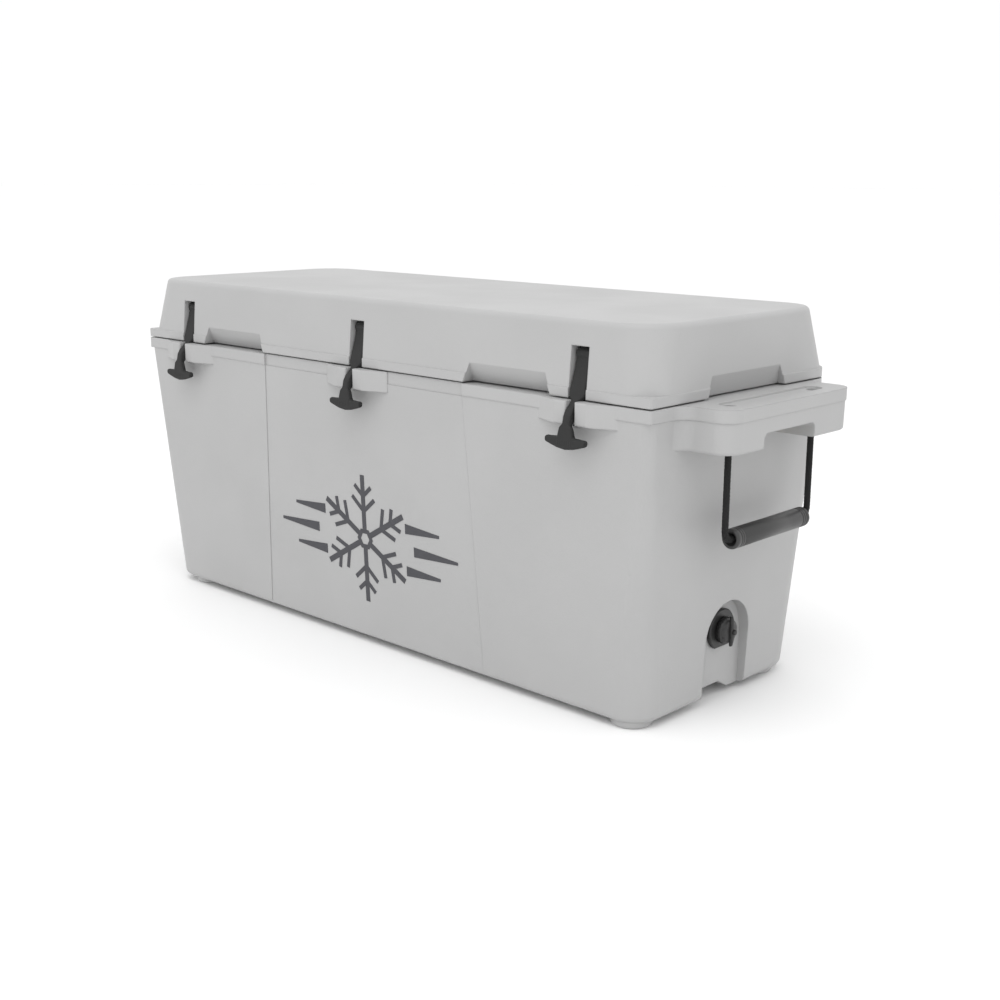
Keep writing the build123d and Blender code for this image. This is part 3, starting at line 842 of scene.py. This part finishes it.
def fill_ribs(tree: Tree, given: bpy.types.Node) -> NodeSocket:
    """A rounded bar on every point, its length along the point's heading.

    Args:
        tree: the group's tree.
        given: the group's input node.

    Returns:
        The geometry.
    """
    points = tree.add("GeometryNodeMeshToPoints", {"Mesh": given.outputs["Geometry"]})
    heading = tree.add(
        "GeometryNodeInputNamedAttribute", {"Name": "heading"}, data_type="FLOAT_VECTOR"
    )
    turned = tree.add("FunctionNodeAlignRotationToVector", {"Vector": heading}, axis="Z")
    ball = tree.add("GeometryNodeMeshUVSphere", {"Segments": 10, "Rings": 6, "Radius": 1.0})
    scale = tree.add(
        "ShaderNodeCombineXYZ",
        {0: given.outputs["Width"], 1: given.outputs["Width"], 2: given.outputs["Half Length"]},
    )
    bars = tree.add(
        "GeometryNodeInstanceOnPoints",
        {"Points": points, "Instance": ball.outputs["Mesh"], "Rotation": turned, "Scale": scale},
    )
    return finish_geometry(tree, bars, given)


BRAID = Recipe(
    "braided_rope",
    {
        "Strands": "NodeSocketInt",
        "Radius": "NodeSocketFloat",
        "Weave": "NodeSocketFloat",
        "Pitch": "NodeSocketFloat",
        "Strand Radius": "NodeSocketFloat",
        "Step": "NodeSocketFloat",
        "Seed": "NodeSocketInt",
        "Material": "NodeSocketMaterial",
    },
    fill_braid,
)
RIBS = Recipe(
    "raised_ribs",
    {"Width": "NodeSocketFloat", "Half Length": "NodeSocketFloat", "Material": "NodeSocketMaterial"},
    fill_ribs,
)


def rib_points(name: str, places: Sequence[Point], headings: Sequence[Point]) -> bpy.types.Object:
    """Makes loose points, each with a heading, for the rib recipe.

    Args:
        name: the object's name.
        places: the points, in metres.
        headings: the direction of each rib.

    Returns:
        The object that holds the points.
    """
    data = bpy.data.meshes.new(name)
    data.from_pydata(places, [], [])
    attribute = data.attributes.new("heading", "FLOAT_VECTOR", "POINT")
    attribute.data.foreach_set("vector", np.array(headings, np.float32).ravel())
    item = bpy.data.objects.new(name, data)
    bpy.context.scene.collection.objects.link(item)
    return item


def rounded_section(across: float, thick: float, corner: float) -> list[Flat]:
    """Rounded rectangle about the origin.

    Args:
        across: full width.
        thick: full thickness.
        corner: corner radius, less where the rectangle is too small for it.

    Returns:
        (width, thickness) points, anticlockwise.
    """
    steps = 5
    flat = 1e-5  # least straight length left on a side
    corner = min(corner, across / 2 - flat, thick / 2 - flat)
    points = []
    for number, (sx, sy) in enumerate(((1, 1), (-1, 1), (-1, -1), (1, -1))):
        for i in range(steps):
            angle = math.radians(90 * number + 90 * i / (steps - 1))
            x = sx * (across / 2 - corner) + corner * math.cos(angle)
            y = sy * (thick / 2 - corner) + corner * math.sin(angle)
            points.append((x, y))
    return points


# --- Latches ---


@dataclass
class Latch:
    """Rubber T-latch: head, tapering strap, neck, bulb and a ribbed finger tee.

    All sizes are in mm, heights from the seam up and depths from the chest's middle to the back.

    Args:
        name: the CAD node that it stands for.
        body: the body that it rides on.
        head: depth and height of the head's middle, on the pin.
        head_radius: outer radius of the head.
        head_overhang: how far the head is wider than the strap, on each side.
        head_round: chamfer of the head's rims.
        strap: depth, height, thickness and width of the strap, down from the head.
        strap_corner: corner radius of the strap.
        tee: distance from the middle, height and tallness of the tee, from left to right.
        tee_depth: depth of the tee's middle.
        tee_thick: thickness of the tee.
        tee_corner: corner radius of the tee.
        rib_pitch: spacing of the grip ribs.
        rib_count: number of the grip ribs.
        rib_width: half of a rib's width.
        rib_half: half of a rib's length.
        rib_height: height of the ribs' middle.
        rib_sink: how far the ribs' middle lies inside the tee's front.
        voxel: cell size of the moulded skin, in metres.
    """

    name: str
    body: str
    head: tuple[float, float] = (-174.5, 52.0)
    head_radius: float = 8.0
    head_overhang: float = 0.6
    head_round: float = 1.5
    strap: tuple[tuple[float, float, float, float], ...] = (
        (-175.5, 49.0, 11.0, 21.5),
        (-178.4, 37.0, 10.5, 22.0),
        (-183.8, 20.0, 9.6, 23.0),
        (-188.4, 6.0, 9.2, 23.8),
        (-189.8, 2.5, 8.6, 22.0),
        (-192.2, -2.5, 8.4, 12.0),
        (-196.0, -8.0, 10.5, 11.0),
        (-200.5, -14.0, 14.0, 11.0),
        (-204.8, -20.0, 13.0, 11.0),
        (-208.2, -27.5, 8.8, 11.0),
        (-209.8, -31.0, 7.8, 18.0),
        (-210.0, -38.0, 7.6, 22.0),
        (-210.0, -43.0, 7.6, 24.5),
        (-210.0, -48.0, 7.0, 27.0),
    )
    strap_corner: float = 2.4
    tee: tuple[tuple[float, float, float], ...] = (
        (-30.0, -46.4, 5.8),
        (-29.0, -46.4, 8.0),
        (-22.0, -47.4, 10.2),
        (-12.0, -48.4, 13.8),
        (0.0, -48.8, 16.0),
        (12.0, -48.4, 13.8),
        (22.0, -47.4, 10.2),
        (29.0, -46.4, 8.0),
        (30.0, -46.4, 5.8),
    )
    tee_depth: float = -210.0
    tee_thick: float = 7.6
    tee_corner: float = 2.6
    rib_pitch: float = 3.2
    rib_count: int = 7
    rib_width: float = 0.7
    rib_half: float = 4.2
    rib_height: float = -48.5
    rib_sink: float = 0.1
    voxel: float = 0.00065

    def middle(self) -> float:
        """X of the latch's middle plane."""
        low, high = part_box(self.name)
        return (low.x + high.x) / 2

    def place(self, x: float, y: float, z: float) -> tuple[float, float, float]:
        """A point in metres from mm beside the latch, behind the middle and above the seam."""
        return (self.middle() + x * MM, y * MM, SEAM + z * MM)

    def build_strap(self, solid: Solid) -> None:
        """Adds the strap, its sections square to its run.

        Args:
            solid: the mesh to add to.
        """
        rings = []
        for i, (y, z, thick, width) in enumerate(self.strap):
            before = self.strap[max(i - 1, 0)]
            after = self.strap[min(i + 1, len(self.strap) - 1)]
            run = Vector((0.0, after[0] - before[0], after[1] - before[1])).normalized()
            facing = Vector((1.0, 0.0, 0.0)).cross(run)
            section = rounded_section(width, thick, self.strap_corner)
            rings.append([self.place(a, y + b * facing.y, z + b * facing.z) for a, b in section])
        solid.loft(rings)

    def build_head(self, solid: Solid) -> None:
        """Adds the barrel round the pin.

        Args:
            solid: the mesh to add to.
        """
        half = self.strap[0][3] / 2 + self.head_overhang
        profile = [
            (self.head_radius - self.head_round, -half),
            (self.head_radius, self.head_round - half),
            (self.head_radius, half - self.head_round),
            (self.head_radius - self.head_round, half),
        ]
        profile = [(radius * MM, along * MM) for radius, along in profile]
        solid.lathe(profile, self.place(0, *self.head), axis=0)

    def build_tee(self, solid: Solid) -> None:
        """Adds the finger tee with its ribs.

        Args:
            solid: the mesh to add to.
        """
        bars = []
        for x, z, tall in self.tee:
            section = rounded_section(self.tee_thick, tall, self.tee_corner)
            bars.append([self.place(x, self.tee_depth + a, z + b) for a, b in section])
        solid.loft(bars)
        first = -self.rib_pitch * (self.rib_count - 1) / 2
        front = self.tee_depth - self.tee_thick / 2 + self.rib_sink
        places = [
            self.place(first + i * self.rib_pitch, front, self.rib_height)
            for i in range(self.rib_count)
        ]
        ribs = rib_points(self.name + "_ribs", places, [(0, 0, 1)] * len(places))
        RIBS.run(
            ribs,
            Width=self.rib_width * MM,
            Half_Length=self.rib_half * MM,
            Material=Finishes.RUBBER.material(),
        )
        solid.add(ribs)

    def build(self) -> bpy.types.Object:
        """Makes the latch as one moulded skin.

        Returns:
            The latch.
        """
        solid = Solid(self.name.replace("latch", "rubber_latch"))
        self.build_strap(solid)
        self.build_head(solid)
        self.build_tee(solid)
        item = fuse(solid.finish(), self.voxel)
        dress(item, Finishes.RUBBER)
        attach(item, self.body)
        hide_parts(self.name)
        LOG.info("%s: %d faces", item.name, len(item.data.polygons))
        return item


# --- Rope handles ---


@dataclass
class RopeHandle:
    """Braided rope through a moulded lug, with a stopper knot at each end.

    All sizes are in mm.

    Args:
        side: left or right.
        body: the body that swings; not used.
        rope_radius: outer radius of the rope.
        bend: radius of the two lower bends.
        bend_steps: straight runs in each bend.
        tuck: how far below the knots' top the rope ends.
        strands: strands in each of the two families.
        strand_radius: radius of one strand.
        weave: how far a strand moves in and out.
        pitch: length of one turn of a strand.
        step: spacing of the strands' rings.
        seed: seed of the strands' thickness.
        knot_loop: size of the knot's loops.
        knot_rope: radius of the rope in the pulled knot.
        knot_step: spacing of the strands' rings in the knot.
        knot_runs: straight runs in the knot's path.
        knot_inset: how far the knots' middles stand in from their outer sides.
        knot_depth: how far the knots' middles lie below their top.
    """

    side: str
    body: str
    rope_radius: float = 4.4
    bend: float = 11.0
    bend_steps: int = 8
    tuck: float = 8.0
    strands: int = 6
    strand_radius: float = 1.15
    weave: float = 0.3
    pitch: float = 26.0
    step: float = 1.4
    seed: int = 4
    knot_loop: float = 1.55
    knot_rope: float = 2.35
    knot_step: float = 0.9
    knot_runs: int = 72
    knot_inset: float = 7.6
    knot_depth: float = 4.4

    def weave_rope(
        self, name: str, points: Sequence[Point], radius: float, step: float
    ) -> bpy.types.Object:
        """Braids strands round a path.

        Args:
            name: the piece's name.
            points: the path, in metres.
            radius: outer radius, in mm.
            step: spacing of the strands' rings, in mm.

        Returns:
            The rope.
        """
        data = bpy.data.meshes.new(name)
        data.from_pydata(points, [(i, i + 1) for i in range(len(points) - 1)], [])
        item = bpy.data.objects.new(name, data)
        bpy.context.scene.collection.objects.link(item)
        share = radius / self.rope_radius
        strand = self.strand_radius * share
        BRAID.run(
            item,
            Strands=self.strands,
            Radius=(radius - strand - self.weave * share) * MM,
            Weave=self.weave * share * MM,
            Pitch=self.pitch * share * MM,
            Strand_Radius=strand * MM,
            Step=step * MM,
            Seed=self.seed,
            Material=Finishes.ROPE.material(),
        )
        return item

    def route(self) -> list[Point]:
        """Path of the hanging rope, from inside one lug hole to inside the other.

        Returns:
            The path's points, in metres.
        """
        rope_low, rope_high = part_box(f"{self.side}_handle_rope")
        knot_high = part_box(f"{self.side}_rope_knots")[1]
        radius = self.rope_radius * MM
        x = (rope_low.x + rope_high.x) / 2
        half = rope_high.y - radius
        low = rope_low.z + radius
        top = knot_high.z - self.tuck * MM
        bend = self.bend * MM
        half_route = [(x, half, top)]
        for i in range(self.bend_steps + 1):
            angle = math.radians(90 * i / self.bend_steps)
            y = half - bend + bend * math.cos(angle)
            z = low + bend - bend * math.sin(angle)
            half_route.append((x, y, z))
        return half_route + [(a, -b, c) for a, b, c in reversed(half_route)]

    def build_rope(self) -> bpy.types.Object:
        """Makes the rope as one still piece, from one lug hole down and back up to the other.

        Returns:
            The rope.
        """
        name = f"{self.side}_braided_rope"
        item = self.weave_rope(name, self.route(), self.rope_radius, self.step)
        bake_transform(item)
        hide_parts(f"{self.side}_handle_rope")
        LOG.info("%s: %d faces", item.name, len(item.data.polygons))
        return item

    def build_knots(self) -> None:
        """Makes the two stopper knots in their wells, as trefoils."""
        low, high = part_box(f"{self.side}_rope_knots")
        x = (low.x + high.x) / 2
        middle = high.z - self.knot_depth * MM
        reach = (high.y - low.y) / 2 - self.knot_inset * MM
        loop = self.knot_loop * MM
        for label, y in (("front", -reach), ("rear", reach)):
            points = []
            for i in range(self.knot_runs + 1):
                t = math.tau * i / self.knot_runs
                a = math.sin(t) + 2 * math.sin(2 * t)
                b = math.cos(t) - 2 * math.cos(2 * t)
                c = -math.sin(3 * t)
                points.append((x + a * loop, y + b * loop, middle + c * loop))
            name = f"{self.side}_{label}_knot"
            knot = self.weave_rope(name, points, self.knot_rope, self.knot_step)
            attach(knot, "tub")
            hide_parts(f"{self.side}_rope_knots")
            LOG.info("%s: %d faces", knot.name, len(knot.data.polygons))

    def build(self) -> None:
        """Makes the rope and its knots."""
        self.build_rope()
        self.build_knots()


@dataclass
class HardGrip:
    """Moulded grip on a rope handle: a tube with rolled ends, grooves and a moulding line.

    All sizes are in mm.

    Args:
        side: left or right.
        body: the body that swings.
        bore: radius of the hollow in each end.
        rope_bore: radius of the passage for the rope.
        bore_depth: depth of the hollow in each end.
        lip: how far the end face starts outside the hollow.
        lip_depth: depth of the slope from the end face into the hollow.
        roll: radius of the rolled ends.
        roll_steps: straight runs in each roll.
        groove: depth of the grooves.
        groove_first: where the first groove starts, from the end.
        groove_pitch: spacing of the grooves.
        groove_count: grooves at each end.
        groove_run: where a groove's floor starts, where it ends, and where the groove ends.
        waist: how much slimmer the grip is in its middle.
        line: height of the moulding line.
        line_start: how far outside the hollow the line starts.
        sides: faces round the grip.
    """

    side: str
    body: str
    bore: float = 8.0
    rope_bore: float = 4.8
    bore_depth: float = 8.0
    lip: float = 0.8
    lip_depth: float = 1.0
    roll: float = 2.6
    roll_steps: int = 4
    groove: float = 0.7
    groove_first: float = 7.0
    groove_pitch: float = 4.0
    groove_count: int = 3
    groove_run: tuple[float, float, float] = (0.5, 1.3, 1.8)
    waist: float = 0.25
    line: float = 0.25
    line_start: float = 2.0
    sides: int = 72

    def profile(self, outer: float, half: float) -> list[Flat]:
        """Closed outline that is turned round the grip's axis.

        Args:
            outer: the grip's radius, in metres.
            half: half of its length, in metres.

        Returns:
            (radius, distance along the axis) points, in metres.
        """
        bore = self.bore * MM
        roll = self.roll * MM
        deep = -half + self.bore_depth * MM
        points = [(self.rope_bore * MM, deep), (bore, deep), (bore, -half + self.lip_depth * MM)]
        points += [(bore + self.lip * MM, -half), (outer - roll, -half)]
        for i in range(1, self.roll_steps + 1):
            angle = math.radians(90 * i / self.roll_steps)
            rise, run = 1 - math.sin(angle), 1 - math.cos(angle)
            points.append((outer - roll * rise, -half + roll * run))
        floor = outer - self.groove * MM
        floor_start, floor_end, end = (size * MM for size in self.groove_run)
        for i in range(self.groove_count):
            start = -half + (self.groove_first + self.groove_pitch * i) * MM
            points += [(outer, start), (floor, start + floor_start)]
            points += [(floor, start + floor_end), (outer, start + end)]
        mirrored = [(radius, -along) for radius, along in reversed(points)]
        return points + [(outer - self.waist * MM, 0.0)] + mirrored

    def build(self) -> bpy.types.Object:
        """Makes the grip.

        Returns:
            The grip.
        """
        node = f"{self.side}_grip"
        low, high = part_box(node)
        x, y, z = (low + high) / 2
        outer = (high.z - low.z) / 2
        rings = []
        for radius, along in self.profile(outer, (high.y - low.y) / 2):
            ring = []
            for i in range(self.sides):
                angle = math.tau * i / self.sides
                on_line = i % (self.sides // 2) == 0
                outside = radius > (self.bore + self.line_start) * MM
                raised = self.line * MM if on_line and outside else 0.0
                reach = min(radius + raised, outer)
                ring.append((x + reach * math.cos(angle), y + along, z + reach * math.sin(angle)))
            rings.append(ring)
        solid = Solid(f"{self.side}_hard_grip")
        solid.loft(rings, closed=True)
        item = solid.finish()
        dress(item, Finishes.GRIP)
        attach(item, self.body)
        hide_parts(node)
        LOG.info("%s: %d faces", item.name, len(item.data.polygons))
        return item


# --- Drain ---


@dataclass
class DrainCap:
    """Screw cap: ribbed skirt, domed face, bow-tie grip wing and a centre boss.

    All sizes are in mm.

    Args:
        bore: radius of the hollow that takes the spout.
        bore_depth: depth of that hollow.
        rim: how far in and along the chamfer of the open end runs.
        skirt: length of the skirt.
        skirt_edge: steps of its edge, each how far in from the outer radius and past the skirt.
        face_back: how far the face lies behind the wing's and boss's end.
        face_edge: steps of the face, each how far in from the outer radius and past the face.
        tip: radius of the flat in the face's middle, and its distance past the face.
        wing_thick: thickness of the wing.
        wing_tall: how far the wing stands up.
        wing_sink: how far the wing's foot lies inside the face.
        wing_corner: corner radius of the wing.
        wing: shares of the reach, thickness and height, from one end of the wing to the other.
        boss: radius of the boss.
        boss_start: how far past the face the boss starts.
        boss_steps: steps of the boss's end, each how far in and how far back from the end.
        ribs: grip ribs round the skirt.
        rib_sink: how far the ribs' middle lies inside the outer radius.
        rib_width: half of a rib's width.
        rib_share: half of a rib's length, as a share of the skirt's.
    """

    bore: float = 13.3
    bore_depth: float = 9.5
    rim: Flat = (1.2, 0.6)
    skirt: float = 7.0
    skirt_edge: tuple[Flat, ...] = ((0.5, -0.7), (1.1, 0.0), (2.2, 0.4))
    face_back: float = 8.5
    face_edge: tuple[Flat, ...] = ((2.6, -0.5), (3.4, 0.4), (8.0, 1.2))
    tip: Flat = (1.0, 1.5)
    wing_thick: float = 7.0
    wing_tall: float = 6.5
    wing_sink: float = 1.2
    wing_corner: float = 2.2
    wing: tuple[tuple[float, float, float], ...] = (
        (-1.0, 0.45, 0.55),
        (-0.93, 0.62, 0.72),
        (-0.7, 0.8, 0.85),
        (-0.35, 1.0, 1.0),
        (0.0, 1.15, 1.0),
        (0.35, 1.0, 1.0),
        (0.7, 0.8, 0.85),
        (0.93, 0.62, 0.72),
        (1.0, 0.45, 0.55),
    )
    boss: float = 3.4
    boss_start: float = 3.5
    boss_steps: tuple[Flat, ...] = ((0.0, 1.2), (0.5, 0.3), (1.4, 0.0))
    ribs: int = 30
    rib_sink: float = 0.5
    rib_width: float = 0.5
    rib_share: float = 0.42

    def profile(self, outer: float, face: float) -> list[Flat]:
        """Outline of the turned part.

        Args:
            outer: the cap's radius, in metres.
            face: distance of the face from the open end, in metres.

        Returns:
            (radius, distance along the axis) points, in metres.
        """
        bore = self.bore * MM
        skirt = self.skirt * MM
        rim_in, rim_along = (size * MM for size in self.rim)
        points = [(bore, self.bore_depth * MM), (bore, rim_along), (bore + rim_along, 0.0)]
        points += [(outer - rim_in, 0.0), (outer - self.rib_sink * MM, rim_along)]
        points += [(outer - inset * MM, skirt + past * MM) for inset, past in self.skirt_edge]
        points += [(outer - inset * MM, face + past * MM) for inset, past in self.face_edge]
        radius, past = self.tip
        return points + [(radius * MM, face + past * MM)]

    def build(self) -> bpy.types.Object:
        """Makes the cap on its spout.

        Returns:
            The cap.
        """
        low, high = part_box("drain_cap")
        middle = (low.z + high.z) / 2
        reach = (high.z - low.z) / 2
        outer = (high.y - low.y) / 2
        face = high.x - low.x - self.face_back * MM
        solid = Solid("screw_cap")
        solid.lathe(self.profile(outer, face), (low.x, 0.0, middle), axis=0, steps=96)
        sections = []
        for share, wide, tall in self.wing:
            height = self.wing_tall * MM * tall
            thick = self.wing_thick * MM * wide
            section = rounded_section(thick, height, self.wing_corner * MM)
            base = low.x + face + height / 2 - self.wing_sink * MM
            sections.append([(base + b, a, middle + share * reach) for a, b in section])
        solid.loft(sections)
        boss_base = low.x + face + self.boss_start * MM
        length = high.x - boss_base
        boss = self.boss * MM
        steps = [(boss - inset * MM, length - back * MM) for inset, back in self.boss_steps]
        solid.lathe([(boss, 0.0)] + steps, (boss_base, 0.0, middle), axis=0, steps=32)
        x = low.x + self.skirt * MM / 2
        radius = outer - self.rib_sink * MM
        turns = [math.tau * i / self.ribs for i in range(self.ribs)]
        places = [(x, radius * math.cos(a), middle + radius * math.sin(a)) for a in turns]
        ribs = rib_points("cap_ribs", places, [(1, 0, 0)] * len(places))
        RIBS.run(
            ribs,
            Width=self.rib_width * MM,
            Half_Length=self.skirt * MM * self.rib_share,
            Material=Finishes.BLACK_PLASTIC.material(),
        )
        solid.add(ribs)
        item = solid.finish()
        dress(item, Finishes.BLACK_PLASTIC)
        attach(item, "cap")
        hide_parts("drain_cap")
        LOG.info("%s: %d faces", item.name, len(item.data.polygons))
        return item


# --- Studio ---


@dataclass
class Studio:
    """Camera, pale floor and soft lights.

    Args:
        azimuth: camera direction round the chest, in degrees; 0 looks along +Y.
        elevation: camera height above the horizon, in degrees.
        roll: small tilt of the camera, in degrees.
        place: the camera's position.
        lens: focal length in mm on a 36 mm sensor.
        floor_reach: half of the floor's width.
        sky: strength of the even white light.
        floor_white: how much light the floor gives back.
        key_place: where the soft light stands.
        key_aim: the point that it faces.
        key_size: its side, in metres.
        key_power: its power, in watts.
    """

    azimuth: float = 43.426
    elevation: float = 13.3705
    roll: float = 0.258
    place: tuple[float, float, float] = (1.41666, -1.40314, 0.65486)
    lens: float = 49.62
    floor_reach: float = 60.0
    sky: float = 1.06
    floor_white: float = 0.95
    key_place: tuple[float, float, float] = (0.9, -1.5, 3.6)
    key_aim: tuple[float, float, float] = (0.0, 0.0, 0.2)
    key_size: float = 2.5
    key_power: float = 37.0

    def camera(self) -> None:
        """Makes the camera and sets it as the scene's."""
        az, el, roll = (math.radians(v) for v in (self.azimuth, self.elevation, self.roll))
        ahead = Vector((-math.sin(az) * math.cos(el), math.cos(az) * math.cos(el), -math.sin(el)))
        right = Vector((math.cos(az), math.sin(az), 0.0))
        up = right.cross(ahead)
        tilted = right * math.cos(roll) + up * math.sin(roll)
        upward = up * math.cos(roll) - right * math.sin(roll)
        data = bpy.data.cameras.new("camera")
        data.lens = self.lens
        data.sensor_width = 36.0
        data.clip_end = 200.0
        camera = bpy.data.objects.new("camera", data)
        turn = Matrix((tilted, upward, -ahead)).transposed()
        camera.matrix_world = Matrix.Translation(self.place) @ turn.to_4x4()
        bpy.context.scene.collection.objects.link(camera)
        bpy.context.scene.camera = camera

    def floor(self) -> None:
        """Makes the plain pale floor."""
        reach = self.floor_reach
        mesh = bpy.data.meshes.new("floor")
        corners = [(-reach, -reach, 0), (reach, -reach, 0), (reach, reach, 0), (-reach, reach, 0)]
        mesh.from_pydata(corners, [], [(0, 1, 2, 3)])
        floor = bpy.data.objects.new("floor", mesh)
        bpy.context.scene.collection.objects.link(floor)
        material = bpy.data.materials.new("floor_paper")
        material.use_nodes = True
        shader = material.node_tree.nodes["Principled BSDF"]
        shader.inputs["Base Color"].default_value = (*grey(self.floor_white), 1.0)
        shader.inputs["Roughness"].default_value = 0.9
        shader.inputs["Specular IOR Level"].default_value = 0.1
        mesh.materials.append(material)

    def key(self) -> None:
        """Makes the soft square light."""
        data = bpy.data.lights.new("key", "AREA")
        data.size = self.key_size
        data.energy = self.key_power
        light = bpy.data.objects.new("key", data)
        light.location = self.key_place
        direction = Vector(self.key_aim) - Vector(self.key_place)
        light.rotation_mode = "QUATERNION"
        light.rotation_quaternion = direction.to_track_quat("-Z", "Y")
        bpy.context.scene.collection.objects.link(light)

    def sky_light(self) -> None:
        """Makes the even white sky, which is as bright as the floor where it is seen directly."""
        world = bpy.data.worlds.new("sky")
        world.use_nodes = True
        tree = Tree(world.node_tree)
        backdrop = world.node_tree.nodes["Background"]
        seen = tree.add("ShaderNodeLightPath").outputs["Is Camera Ray"]
        level = tree.maths("MULTIPLY_ADD", seen, self.sky * (self.floor_white - 1.0), self.sky)
        tree.put(backdrop, "Color", grey(1.0))
        tree.put(backdrop, "Strength", level)
        bpy.context.scene.world = world

    def build(self) -> None:
        """Makes the whole studio."""
        self.camera()
        self.floor()
        self.sky_light()
        self.key()
        bpy.context.scene.view_settings.view_transform = "Standard"


def dress_cad_nodes() -> None:
    """Gives every CAD node its finish."""
    for finish, names in CAD_FINISHES.items():
        for name in names:
            dress(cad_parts[name], finish)
            LOG.info("dressed %s", name)


def build_pieces() -> None:
    """Makes every detailed piece that stands for a CAD node."""
    for side in ("left", "middle", "right"):
        Latch(f"{side}_latch", f"latch_{side}").build()
    for side in ("left", "right"):
        RopeHandle(side, f"handle_{side}").build()
        HardGrip(side, f"handle_{side}").build()
    DrainCap().build()


def main() -> None:
    """Builds the studio and the chest."""
    Studio().build()
    dress_cad_nodes()
    build_pieces()


if __name__ == "__main__":
    main()
